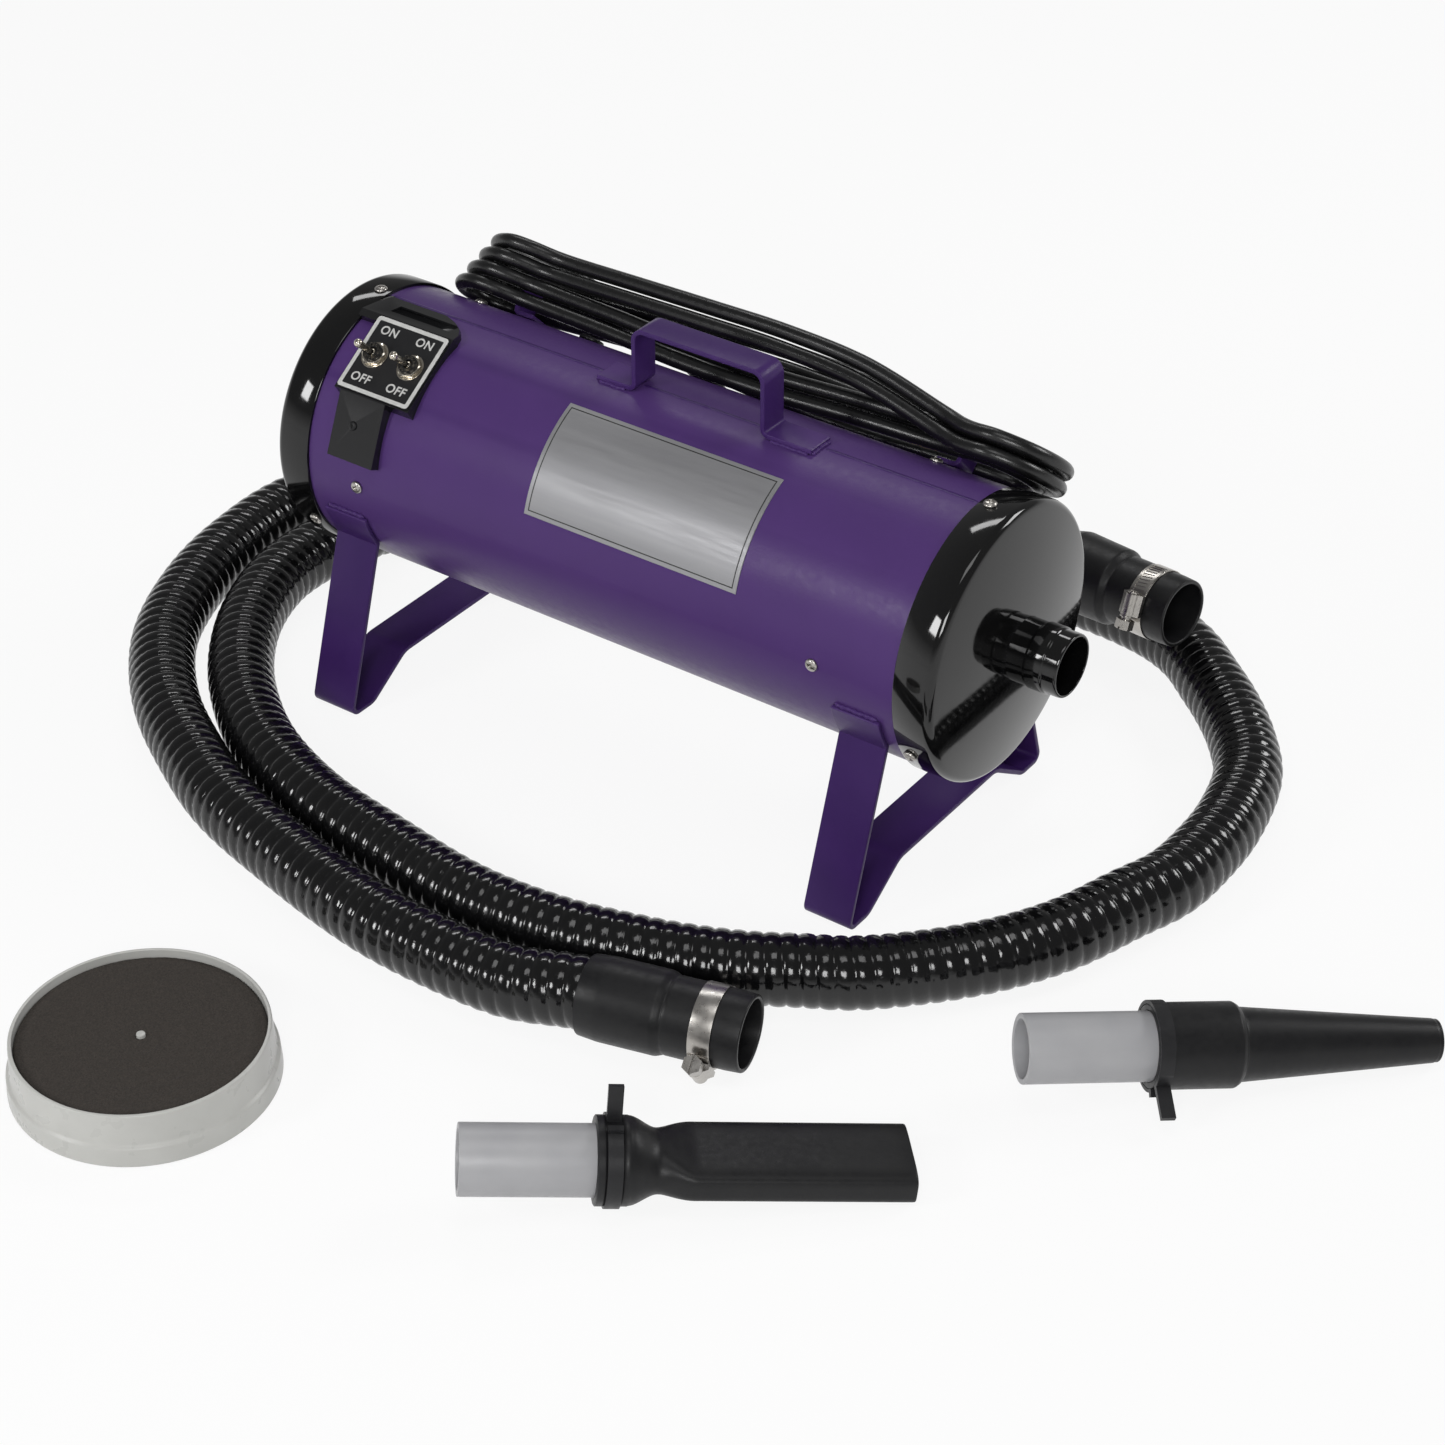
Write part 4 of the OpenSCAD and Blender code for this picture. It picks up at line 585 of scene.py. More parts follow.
def joined(parts):
    points, faces = [], []
    for p, f in parts:
        faces += [tuple(i + len(points) for i in face) for face in f]
        points += [tuple(q) for q in p]
    return points, faces


def refined(name, node, slot, bevel):
    """The node's own form with its edges eased."""
    bm = bmesh.new()
    bm.from_mesh(frame["nodes"][node].data)
    bmesh.ops.remove_doubles(bm, verts=bm.verts, dist=2e-6)
    bmesh.ops.dissolve_limit(
        bm, angle_limit=math.radians(0.6), verts=bm.verts, edges=bm.edges
    )
    bm.transform(KIT.inverted())
    finish_mesh(name, bm, slot, [node], None, None, Matrix.Identity(4), 30, bevel)


# ---- Camera ----

camera = add_object("camera", bpy.data.cameras.new("camera"))
bpy.context.scene.camera = camera
FOCAL_PIXELS, IMAGE_PIXELS = 3283.0455, 1445
MIDDLE_PIXELS = (745.952, 733.25)
camera.data.sensor_width = 36
camera.data.lens = FOCAL_PIXELS / IMAGE_PIXELS * 36
camera.data.shift_x = 0.5 - MIDDLE_PIXELS[0] / IMAGE_PIXELS
camera.data.shift_y = MIDDLE_PIXELS[1] / IMAGE_PIXELS - 0.5
RIGHT = Vector((0.817519, 0.575886, 0.004242))
UP = Vector((-0.333138, 0.466883, 0.81917))
AHEAD = Vector((-0.469768, 0.6711, -0.573535))
camera.matrix_world = Matrix.Translation((0.856158, -1.149459, 1.171614)) @ Matrix(
    (RIGHT, UP, -AHEAD)
).transposed().to_4x4()


# ---- Mains lead: a hank over both hooks ----

RUN_T = 10 + CORD_R + 0.3
FOLD_R = 24.0
LAYER_RISE = CORD_OD + 0.8
FIRST_N = SHELL_R + 9
OUTER_STEP = LAYER_RISE + 0.4
RUN_FROM, RUN_TO = REAR_HOOK_X + 12, FRONT_HOOK_X - 14
HANK_LAYERS = 4
PLUG_ANGLE, PLUG_X = 8.0, 60.0
PLUG_R = SHELL_R + 0.3 + 20.0 / 2
PLUG_N, PLUG_T = polar(PLUG_R, PLUG_ANGLE - HOOK_ANGLE)
FOLD_ANGLES = [115, 80, 40, 0, -40, -80, -115]


# Each layer of turns: how far out it lies at both hooks, and further across and out at the front.
REAR_N = [FIRST_N + k * LAYER_RISE for k in range(HANK_LAYERS)]
FRONT_N = [FIRST_N + k % 2 * LAYER_RISE for k in range(HANK_LAYERS)]
WIDER = [0, 0, OUTER_STEP, OUTER_STEP]
LIFT = [0, 0, 5, 5]


def run_point(s, side, k, behind_n):
    """A point of a run, at share s from the rear hook to the front one."""
    sag = (5 if side > 0 else 2) * math.sin(math.pi * s) ** 2 if k < 2 else 0
    climb = (FRONT_N[k] + LIFT[k] - REAR_N[k]) * max(0, (s - 0.55) / 0.45) ** 2.5
    return (
        RUN_FROM + 4 * k * (1 - s) + (RUN_TO - RUN_FROM) * s,
        side * (RUN_T + WIDER[k] * min(1, 2 * s)), behind_n + climb - sag,
    )


def near_run(k):
    return [run_point(1 - 0.2 * i, 1, k, REAR_N[k]) for i in range(6)]


def far_run(k):
    return [
        run_point(0.2 * i, -1, k + 1, REAR_N[k] + LAYER_RISE * min(1, 0.44 * i)) for i in range(6)
    ]


def rear_fold(k):
    return [
        (REAR_HOOK_X - 22.5 + 4 * k - FOLD_R * c, FOLD_R * s, REAR_N[k] - 2 * max(0, c))
        for c, s in (polar(1, a) for a in FOLD_ANGLES)
    ]


def front_fold(k):
    r = FOLD_R + WIDER[k]
    return [
        (FRONT_HOOK_X + 22 + r * c, r * s, FRONT_N[k] + LIFT[k] * (1 - s) / 2)
        for c, s in (polar(1, a) for a in reversed(FOLD_ANGLES))
    ]


def by_hooks(p):
    """A place from (along the tube, across, out from the axis), beside the hooks."""
    x, t, n = p
    c, s = polar(1, HOOK_ANGLE)
    return Vector((x, n * c - t * s, AXIS_H + n * s + t * c))


cord_start = (GLAND_X + GLAND_SLEEVE, 0, GLAND_TURN_N)
hank = [
    (cord_start[0] - 20, 0, GLAND_TURN_N), cord_start, (cord_start[0] + 14, 0, GLAND_TURN_N),
    (cord_start[0] + 40, -2, GLAND_TURN_N), (15, -9, 90), (60, -RUN_T, 88.5),
    (105, -RUN_T, 88.5), (RUN_TO, -RUN_T, 90.5),
]
for layer in range(HANK_LAYERS):
    hank += front_fold(layer) + near_run(layer) + rear_fold(layer)
    if layer < HANK_LAYERS - 1:
        hank += far_run(layer)
hank += [
    (-138, -22, REAR_N[-1] - 1), (-95, -35, 111), (-52, -48, 96), (-16, -55, 83),
]
hank += [(PLUG_X + x, PLUG_T, PLUG_N) for x in (-45, -24, -10, 0, 20)]
CURVE_STEPS, LEAD_STEP, LEAD_SIDES = 8, 3.2, 18
lead_line, lead_length = even_steps(
    smooth_route([by_hooks(p) for p in hank], CURVE_STEPS), LEAD_STEP
)
lead = piece(
    "mains_lead", rings_part(tube_rings(lead_line, lambda i, s: CORD_R, LEAD_SIDES)),
    "black_rubber", ["mains_cord"], mat=CORD_BLACK, sharp=60,
)

PLUG = move(PLUG_X, 0, AXIS_H) @ turn("X", PLUG_ANGLE - 90) @ move(0, 0, PLUG_R)


def squarish(x, wide, high, power, count=48):
    """A ring of points between a circle and a rectangle, square to local X."""
    return [
        (x, math.copysign(abs(c) ** (2 / power), c) * wide / 2,
         math.copysign(abs(s) ** (2 / power), s) * high / 2)
        for c, s in ring_of(1, count, 180 / count)
    ]


plug_body = piece(
    "plug_body",
    rings_part([
        squarish(x, w, h, p)
        for x, w, h, p in (
            (0.1, 12.2, 12.2, 2), (0.6, 13.4, 13.4, 2), (3, 14.2, 13.9, 2), (3.8, 12.9, 12.9, 2),
            (5.2, 12.9, 12.9, 2), (6, 15.2, 14.6, 2.1), (8, 16.2, 15, 2.2), (8.8, 14.4, 14, 2.2),
            (10.2, 14.6, 14, 2.2), (11, 18.2, 15.8, 2.4), (14, 21.2, 17, 2.8),
            (17, 23.6, 18, 3.2), (20, 25.4, 19, 3.8), (22, 26.6, 19.8, 4.4),
            (34, 27, 20, 5), (36.6, 27, 20, 5), (37.5, 26.4, 19.4, 5), (38, 25.2, 18.2, 5),
        )
    ]),
    "black_rubber", ["mains_plug"], place=PLUG, sharp=70,
)

# ---- Hose: a helical rib on a route along the floor ----


def cuff_way(yaw, pitch):
    y, p = math.radians(yaw), math.radians(pitch)
    return Vector((math.cos(p) * math.cos(y), math.cos(p) * math.sin(y), math.sin(p)))


HOSE_FLOOR, HOSE_IN_CUFF = 21.3, 36.0
HOSE_PLAN = [
    (30, -275), (-23, -271), (-93, -256), (-155, -238.5), (-206, -213), (-253, -183),
    (-293, -145), (-318, -108), (-338, -59), (-347, -14), (-349, 30), (-338, 75), (-315, 115),
    (-283, 150), (-240, 180), (-185, 205), (-120, 224), (-50, 236), (20, 244), (90, 250),
    (150, 253.5), (198, 249), (232, 236), (260, 214), (284, 193), (307, 168), (328, 136),
    (340, 91), (343, 53), (341, 18), (330, -15), (318, -52), (303, -82), (285, -108),
    (262, -134), (238, -156), (213, -171), (188, -186), (160, -199), (129, -210), (78, -223),
    (19, -227), (-49, -218), (-106, -208), (-159, -189), (-201, -164), (-242, -128),
    (-275, -83), (-294, -35), (-296, 8), (-288, 48), (-270, 88), (-240, 124), (-196, 152),
    (-144, 171), (-80, 184),
]
way_out, way_in = cuff_way(NOZZLE_CUFF_YAW, 0), cuff_way(MACHINE_CUFF_YAW, MACHINE_CUFF_PITCH)
hose_from = NOZZLE_CUFF_MOUTH - way_out * (CUFF_LEN - HOSE_IN_CUFF)
hose_to = MACHINE_CUFF_MOUTH - way_in * (CUFF_LEN - HOSE_IN_CUFF)
hose_line = (
    [hose_from + way_out * d for d in (40, 0, -22, -44)] + [(86, -272, 21.6)]
    + [(x, y, HOSE_FLOOR) for x, y in HOSE_PLAN]
    + [(-20, 194, 22.5), (20, 201.5, 33.5), (54, 213, 48), (86, 223, 55), (114, 228, 57.9)]
    + [hose_to + way_in * d for d in (-44, -22, 0, 40)]
)
RIB_PITCH, RIB_STEPS, RIB_H = 9.6, 8, 1.35
HOSE_WALL, HOSE_SIDES, GROOVE_SHARE, RIPPLE = 1.2, 26, 0.22, 0.12
hose_route, hose_length = even_steps(
    smooth_route(hose_line, CURVE_STEPS), RIB_PITCH / RIB_STEPS
)


def rib_radius(i, share):
    """Broad crests with narrow grooves, one turn of the helix to a pitch."""
    phase = (i / RIB_STEPS + share) % 1.0
    groove = max(0.0, 1 - min(phase, 1 - phase) / GROOVE_SHARE)
    dip = RIPPLE * math.cos(4 * math.pi * phase)
    return HOSE_OD / 2 - 0.15 - RIB_H * groove * groove * (3 - 2 * groove) + dip


hose_skin = tube_rings(hose_route, rib_radius, HOSE_SIDES)
hose_bore = tube_rings(
    hose_route[::RIB_STEPS] + ([hose_route[-1]] if (len(hose_route) - 1) % RIB_STEPS else []),
    lambda i, s: HOSE_OD / 2 - RIB_H - HOSE_WALL, HOSE_SIDES,
)
hose = piece(
    "ribbed_hose", rings_part(hose_skin + hose_bore[::-1], closed=True), "black_rubber",
    ["hose"], mat=HOSE_BLACK, sharp=75,
)

# ---- Hose cuffs and their worm clamps ----


CUFF_BORE_R = 19.25


def cuff_part(wide, flare):
    """A moulded cuff: a wide end over the hose, a step, and a neck for the clamp."""
    r, neck, socket = wide / 2, 22.3, HOSE_OD / 2 + 0.3
    return turned([
        (socket, 0), (socket + 1.6, 0), (r + flare, 12), (r + flare * 0.4, 30), (r, 45),
        (neck + 0.5, 48.2), (neck - 0.3, 49.6), (neck, 51), (neck, 86), (neck - 0.5, CUFF_LEN),
        (CUFF_BORE_R, CUFF_LEN), (CUFF_BORE_R, HOSE_IN_CUFF + 0.3), (socket, HOSE_IN_CUFF + 0.3),
    ], 1.1)


nozzle_cuff, machine_cuff = (
    piece(node + "_moulding", part, "black_satin", [node], place=place, sharp=50)
    for node, part, place in (
        ("nozzle_cuff", cuff_part(48, 0), NOZZLE_CUFF),
        ("machine_cuff", cuff_part(50, 1), MACHINE_CUFF),
    )
)
CLAMP_IN, CLAMP_T = 22.4, 0.7
CLAMP_OUT = CLAMP_IN + 2 * CLAMP_T
WORM_R, WORM_LEN = 3.1, 14.0
WORM_OUT = CLAMP_OUT + 0.5 + WORM_R
SADDLE_HALF, SADDLE_T, HEAD_LOW = 7.3, 1.35, 10.15
SLOT_COUNT, SLOT_FROM, SLOT_STEP, SLOT_LEAN = 11, 15, 6, 9
SLOT_LOW, SLOT_HIGH = (-0.45, -0.75, -3.9), (0.6, 0.75, 3.9)
HEX_SHARE = math.cos(math.radians(30))  # a hexagon's flat, to its corner


def clamp_band(name, node, place):
    """A steel band, its slotted free end over it, and the folded saddle for the screw."""
    def flat_band(name, low, high, inset, ease, nodes, *turns):
        half = CLAMP_W / 2 - inset
        profile = softened([(low, -half), (high, -half), (high, half), (low, half)], ease, 3)
        return piece(
            name, revolve(profile, *turns), "zinc_steel", nodes, "machine", place=place, sharp=50
        )

    end = CLAMP_IN + CLAMP_T
    band = flat_band(name + "_band", CLAMP_IN, end, 0, 0.25, [node])
    tail = flat_band(name + "_tail", end - 0.02, CLAMP_OUT, 0.3, 0.2, [], 60, -25, 80)
    slots = [
        placed(
            box_part(SLOT_LOW, SLOT_HIGH),
            turn("Z", SLOT_FROM + SLOT_STEP * k) @ move(CLAMP_OUT, 0, 0) @ turn("X", SLOT_LEAN),
        )
        for k in range(SLOT_COUNT)
    ]
    apply_cut(tail, placed(joined(slots), KIT @ place))
    foot = [(CLAMP_OUT - 0.3, -SADDLE_HALF), (WORM_OUT - 1.2, -SADDLE_HALF)]
    over = [(WORM_OUT + x, y) for x, y in arc(WORM_R + SADDLE_T, -82, 82, 14)]
    saddle = prism(
        foot + over + [(x, -y) for x, y in reversed(foot)], -WORM_LEN / 2, WORM_LEN / 2
    )
    housing = piece(
        name + "_housing", placed(saddle, turn("X", 90)), "zinc_steel", place=place, sharp=32,
        bevel=0.35,
    )
    bore = revolve([(0, -12), (WORM_R + 0.06, -12), (WORM_R + 0.06, 12), (0, 12)], 40)
    apply_cut(housing, placed(bore, KIT @ place @ move(WORM_OUT, 0, 0) @ turn("X", 90)))
    return band


def disc(r, low, high, ease=0.3, steps=3):
    """A round plate with a softened rim."""
    return turned([(0, low), (r, low), (r, high), (0, high)], ease, steps, 48, (0, 3))


def clamp_screw(name, node, place):
    """The worm with its thread, a collar, a tip, and a slotted six-sided head."""
    frame_out = place @ move(WORM_OUT, 0, 0) @ turn("X", 90)
    thread = [(0, -8.5), (2.4, -8.5)]
    for k in range(10):
        z = -8.0 + 1.6 * k
        thread += [(2.35, z), (WORM_R, z + 0.45), (WORM_R, z + 0.75), (2.35, z + 1.2)]
    thread += [(WORM_R, 7.2), (WORM_R, HEAD_LOW), (0, HEAD_LOW)]
    collar, tip = disc(4.4, 7.15, 8.35), disc(3.7, -8.15, -7.15)
    piece(
        name, [revolve(thread, 48), collar, tip], "zinc_steel", [node], place=frame_out, sharp=40
    )
    head = piece(
        name + "_head", prism(ring_of(5 / HEX_SHARE, 6), HEAD_LOW, HEAD_LOW + 6), "zinc_steel",
        body=frame["nodes"][node]["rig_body"], place=frame_out, sharp=25, bevel=0.5,
    )
    apply_cut(head, placed(box_part((-8, -0.7, 14.6), (8, 0.7, 18)), KIT @ frame_out))


nozzle_band = clamp_band("nozzle_clamp", "nozzle_cuff_clamp", NOZZLE_CLAMP)
machine_band = clamp_band("machine_clamp", "machine_cuff_clamp", MACHINE_CLAMP)
clamp_screw("nozzle_clamp_worm", "nozzle_cuff_screw", NOZZLE_CLAMP)
clamp_screw("machine_clamp_worm", "machine_cuff_screw", MACHINE_CLAMP)

# ---- Tube, caps and outlet ----

rim_in, rim_out = SHELL_R + 0.1, SHELL_R + 1.95
SHOULDER_R, SHOULDER_X, SHOULDER_END = 5.5, 231.7, 78.0
shoulder_out, shoulder_up = polar(SHOULDER_R, SHOULDER_END)
DOME_R, DOME_X = rim_out - SHOULDER_R + shoulder_out, SHOULDER_X + shoulder_up
DOME_RISE = DOME_R * math.tan(math.radians(90 - SHOULDER_END)) / 2
CAP_THICK = 2.5
GRILLE_R = 64.6


def dome_x(r):
    """How far along the tube a cap's face lies, at r from its middle."""
    return DOME_X + DOME_RISE * (1 - (r / DOME_R) ** 2)


def cap_profile(middle_r):
    """Half section of a cap, open in the middle: a rim, a tight shoulder and a shallow dome."""
    core, inner = rim_out - SHOULDER_R, SHOULDER_R - CAP_THICK
    over, under = (
        [(core + x, SHOULDER_X + y) for x, y in arc(r, 0, SHOULDER_END, 14)]
        for r in (SHOULDER_R, inner)
    )
    face = [middle_r + (DOME_R - middle_r) * i / 12 for i in range(11, -1, -1)]
    return (
        [(rim_in, CAP_EDGE), (rim_in + 0.5, CAP_EDGE), (rim_out - 0.3, CAP_EDGE + 0.1)]
        + [(rim_out, CAP_EDGE + 0.5)] + over + [(r, dome_x(r)) for r in face]
        + [(r, dome_x(r) - CAP_THICK) for r in reversed(face)]
        + under[::-1] + [(core + inner, SHELL_END + 0.1), (rim_in, SHELL_END + 0.1)]
    )


REAR_END = along_axis(0) @ Matrix.Scale(-1, 4, (0, 0, 1))
for node, middle_r, place in (
    ("front_cap", TUBE_R + 0.1, along_axis(0)), ("rear_cap", GRILLE_R - 0.6, REAR_END)
):
    piece(
        node + "_pressing", revolve(cap_profile(middle_r), 192), "black_gloss", [node],
        place=place, sharp=40,
    )


def grille_part(radii, rib_half, sectors=8, steps=6):
    """Rings of slots between straight ribs, as one plate."""
    points, faces, index = [], [], {}
    columns, step = sectors * (steps + 1), 360 / sectors
    for i, r in enumerate(radii):
        edge = math.degrees(math.asin(rib_half / r))
        for s in range(sectors):
            start = 22.5 + s * step + edge
            for k, (x, y) in enumerate(arc(r, start, start + step - 2 * edge, steps)):
                index[i, s * (steps + 1) + k] = len(points)
                points.append((x, y, dome_x(r)))
    hub = len(points)
    points.append((0, 0, dome_x(0)))
    for c in range(columns):
        d = (c + 1) % columns
        faces.append((hub, index[0, c], index[0, d]))
        rib = c % (steps + 1) == steps
        for i in range(len(radii) - 1):
            if rib or i % 2 == 1:
                faces.append((index[i, c], index[i + 1, c], index[i + 1, d], index[i, d]))
    return points, faces


grille_mesh = mesh_of([grille_part([16, 23, 26, 33, 36, 43, 46, 53, 56, 63, GRILLE_R], 2.5)])
solid = bmesh.ops.extrude_face_region(grille_mesh, geom=grille_mesh.faces[:])
for v in solid["geom"]:
    if isinstance(v, bmesh.types.BMVert):
        v.co.z -= CAP_THICK
finish_mesh("intake_grille", grille_mesh, "black_gloss", [], "machine", None, REAR_END, 40, 0.3)
SPIGOT_IN, SPIGOT_BORE_R = CAP_FACE - 5.7, TUBE_R - 1.8
FLANGE_R, BAND_R = TUBE_R + 9, TUBE_R + 0.8
piece(
    "outlet_pipe",
    turned([
        (SPIGOT_BORE_R, SPIGOT_IN), (FLANGE_R, SPIGOT_IN), (FLANGE_R, SPIGOT_IN + 2.5),
        (TUBE_R, SPIGOT_IN + 2.5), (TUBE_R, 256), (BAND_R, 257), (BAND_R, 267), (TUBE_R, 268),
        (TUBE_R, 275.8), (TUBE_R - 0.5, SPIGOT_MOUTH), (SPIGOT_BORE_R, SPIGOT_MOUTH),
    ], 0.5),
    "black_gloss", ["outlet_spigot"], place=along_axis(0), sharp=45,
)
SEAM_ANGLE, SEAM_H = 89.4, 0.45
SEAM_RUNS = ((-211.5, -47.5), (-19.5, 71), (108.5, 211.5))


def seam_part(start, end):
    """A low uneven weld along the tube's top."""
    rings = []
    steps = max(8, int((end - start) / 1.5))
    for i in range(steps + 1):
        x = start + (end - start) * i / steps
        tall = SEAM_H * (0.8 + 0.35 * noise.noise((x * 0.21, 0.3, 0.7)))
        fade = min(1.0, i / 3, (steps - i) / 3)
        ring = []
        for k in range(9):
            across = (k / 8 - 0.5) * 3.4
            r = SHELL_R - 0.1 + (tall + 0.1) * fade * math.cos(math.pi * across / 3.6)
            ring.append(on_tube(x, SEAM_ANGLE + math.degrees(across / SHELL_R), r))
        rings.append(ring + [on_tube(x, SEAM_ANGLE, SHELL_R - 0.5)])
    return rings_part(rings)


piece("tube_weld", [seam_part(*run) for run in SEAM_RUNS], "purple_paint", sharp=60)

# ---- Screws ----


def pan_head(r, h, steps=7):
    """Half section of a low domed head on a short shank."""
    dome = [(r * c ** 0.75, h * (0.3 + 0.7 * s)) for c, s in arc(1, 0, 90, steps)[:-1]]
    shank = [(0, -4.6), (r * 0.5, -4.6), (r * 0.5, 0)]
    return shank + [(r - 0.1, 0), (r, 0.15)] + dome + [(0, h)]


def screws(name, node, seats, r=4.0, h=2.4, slot_name="zinc_steel"):
    """Domed screws with cross recesses."""
    heads = [placed(revolve(pan_head(r, h), 40), seat) for seat in seats]
    obj = piece(name, heads, slot_name, [node], sharp=38)
    recess = []
    for i, seat in enumerate(seats):
        for quarter in (0, 90):
            cross = rings_part([
                [(-x, -y, z), (x, -y, z), (x, y, z), (-x, y, z)]
                for x, y, z in ((0.14 * r, 0.1 * r, 0.25 * h), (0.6 * r, 0.16 * r, 1.15 * h))
            ])
            recess.append(placed(cross, KIT @ seat @ turn("Z", 25 + 40 * i + quarter)))
    for cutter in (joined(recess[0::2]), joined(recess[1::2])):
        apply_cut(obj, cutter)


CAP_SCREW_X, CAP_SCREW_R, TUBE_SCREW_R = CAP_EDGE + 6.72, SHELL_R + 1.97, SHELL_R + 0.02
for name, node, x, seat_r, first in (
    ("front_cap_fixings", "front_cap_screws", CAP_SCREW_X, CAP_SCREW_R, 90),
    ("rear_cap_fixings", "rear_cap_screws", -CAP_SCREW_X, CAP_SCREW_R, 90),
    ("motor_fixings", "motor_mount_screws", -174, TUBE_SCREW_R, 60),
    ("heater_fixings", "heater_mount_screws", 158, TUBE_SCREW_R, 60),
):
    screws(name, node, [radial(x, first + a, seat_r) for a in (0, 120, 240)])

# ---- Stands, handle, hooks and name plate ----

STAND_W, STAND_T = 32.0, 3.0
STRAP_W, STRAP_T, STRAP_UP = 20.0, 3.0, 1.6


def stand_path():
    """The stand's middle line across the tube, from the near tab to the far one."""
    mid_r = SHELL_R + 0.1 + STAND_T / 2
    foot, low, bar = 107 - STAND_T / 2, STAND_T / 2, 21 + STAND_T / 2
    tab = [Vector(on_tube(0, a, mid_r)[1:]) for a in (-164, -160, -156, -152, -147.5)]
    half = tab[:-1] + rounded(
        [tab[-1], (-foot, low), (20 - foot, low), (-53, bar), (0, bar)], [4.5, 12, 16], (8, 6, 6)
    )[:-1]
    return half + [Vector((-p.x, p.y)) for p in reversed(half)]


for node, x in (("front_stand", STAND_X), ("rear_stand", -STAND_X)):
    piece(
        node + "_strap", strap(stand_path(), STAND_T, STAND_W), "purple_paint", [node], sharp=40,
        place=move(x, 0, 0) @ turn("Z", 90) @ turn("X", 90),
    )
HANDLE_LOW, HANDLE_HIGH = AXIS_H + SHELL_R + STRAP_UP, AXIS_H + SHELL_R + 40.5
HANDLE_LEFT, HANDLE_RIGHT = 27 - 45.5, 27 + 45.5
HANDLE_ENDS = HANDLE_LEFT - 27, HANDLE_RIGHT + 34
handle_path = rounded([
    (HANDLE_ENDS[0], HANDLE_LOW), (HANDLE_LEFT, HANDLE_LOW), (HANDLE_LEFT, HANDLE_HIGH),
    (HANDLE_RIGHT, HANDLE_HIGH), (HANDLE_RIGHT, HANDLE_LOW), (HANDLE_ENDS[1], HANDLE_LOW),
], [4, 7, 7, 4])
piece(
    "handle_strap", strap(handle_path, STRAP_T, STRAP_W), "purple_paint", ["carry_handle"],
    place=turn("X", 90), sharp=40,
)
hook_path = rounded([(-14, STRAP_UP), (0, STRAP_UP), (0, 23.5), (16, 23.5)], [3.5, 5])
for name, node, x, flip in (
    ("rear_hook_strap", "rear_cord_hook", REAR_HOOK_X, -1),
    ("front_hook_strap", "front_cord_hook", FRONT_HOOK_X, 1),
):
    piece(
        name, strap([(p.x * flip, p.y) for p in hook_path], STRAP_T, STRAP_W), "purple_paint",
        [node], place=radial(x, HOOK_ANGLE, SHELL_R) @ turn("X", 90), sharp=40,
    )


def weld_bead(path, r):
    """A short uneven bead of weld along a line."""
    line, _ = even_steps([Vector(p) for p in path], 1.2)
    last = len(line) - 1
    return rings_part(tube_rings(
        line,
        lambda i, s: r * min(1.0, 0.35 + 0.5 * min(i, last - i))
        * (1 + 0.16 * math.sin(i * 1.9) + 0.1 * math.sin(i * 0.7 + 6.28 * s)), 8,
    ))


def tube_top(x, y):
    """A point just over the tube, at y across its top."""
    return x, y, AXIS_H + math.sqrt(SHELL_R ** 2 - y ** 2) + 0.4


welds = []
for foot, free, out in zip((HANDLE_LEFT, HANDLE_RIGHT), HANDLE_ENDS, (-1, 1)):
    welds.append(weld_bead([tube_top(free + 0.3 * out, y) for y in (-9, -4, 0, 4, 9)], 1.5))
    for y in (-10.3, 10.3):
        welds.append(weld_bead([tube_top(foot + 6 * out, y), tube_top(free - 2 * out, y)], 1.2))
for x in (-STAND_X, STAND_X):
    for a in (195.4, 344.6):
        ends = [on_tube(at, a, SHELL_R + 0.5) for at in (x - 14, x + 14)]
        welds.append(weld_bead(ends, 1.5))
piece("strap_welds", welds, "purple_paint", sharp=60)

PLATE_X, PLATE_LEN, PLATE_ANGLE, PLATE_ARC = 28.0, 151.0, 138.0, 72.0


def rolled(s, t, r):
    """A place on the tube, s along it from the plate's middle and t up round it."""
    return on_tube(PLATE_X + s, PLATE_ANGLE - math.degrees(t / SHELL_R), r)


def rolled_sheet(s0, s1, t0, t1, low, high, columns, rows):
    """A thin sheet rolled to the tube, with eased edges."""
    ease = min(0.25, (high - low) / 2)
    rings = []
    outline, corners = [], [(s0, t0), (s1, t0), (s1, t1), (s0, t1), (s0, t0)]
    for (s, t), (end_s, end_t), n in zip(corners, corners[1:], (columns, rows, columns, rows)):
        outline += [(s + (end_s - s) * i / n, t + (end_t - t) * i / n) for i in range(n)]
    mid_s, mid_t = (s0 + s1) / 2, (t0 + t1) / 2
    for r, inset in ((low, 0.0), (high - ease, 0.0), (high, ease)):
        rings.append([
            rolled(
                mid_s + (s - mid_s) * (1 - 2 * inset / (s1 - s0)),
                mid_t + (t - mid_t) * (1 - 2 * inset / (t1 - t0)), r,
            )
            for s, t in outline
        ])
    points, faces = rings_part(rings, caps=False)
    count, last = len(outline), 2 * len(outline)
    for base, flip in ((last, 1), (0, -1)):
        for i in range(rows):
            right, right_up = base + columns + i, base + columns + i + 1
            left, left_up = base + (count - i) % count, base + count - i - 1
            if i == 0:
                face = list(range(base, base + columns + 1)) + [right_up, left_up]
            elif i == rows - 1:
                face = [left, right] + [base + columns + rows + k for k in range(columns + 1)]
            else:
                face = [left, right, right_up, left_up]
            faces.append(tuple(face[::flip]))
    return points, faces


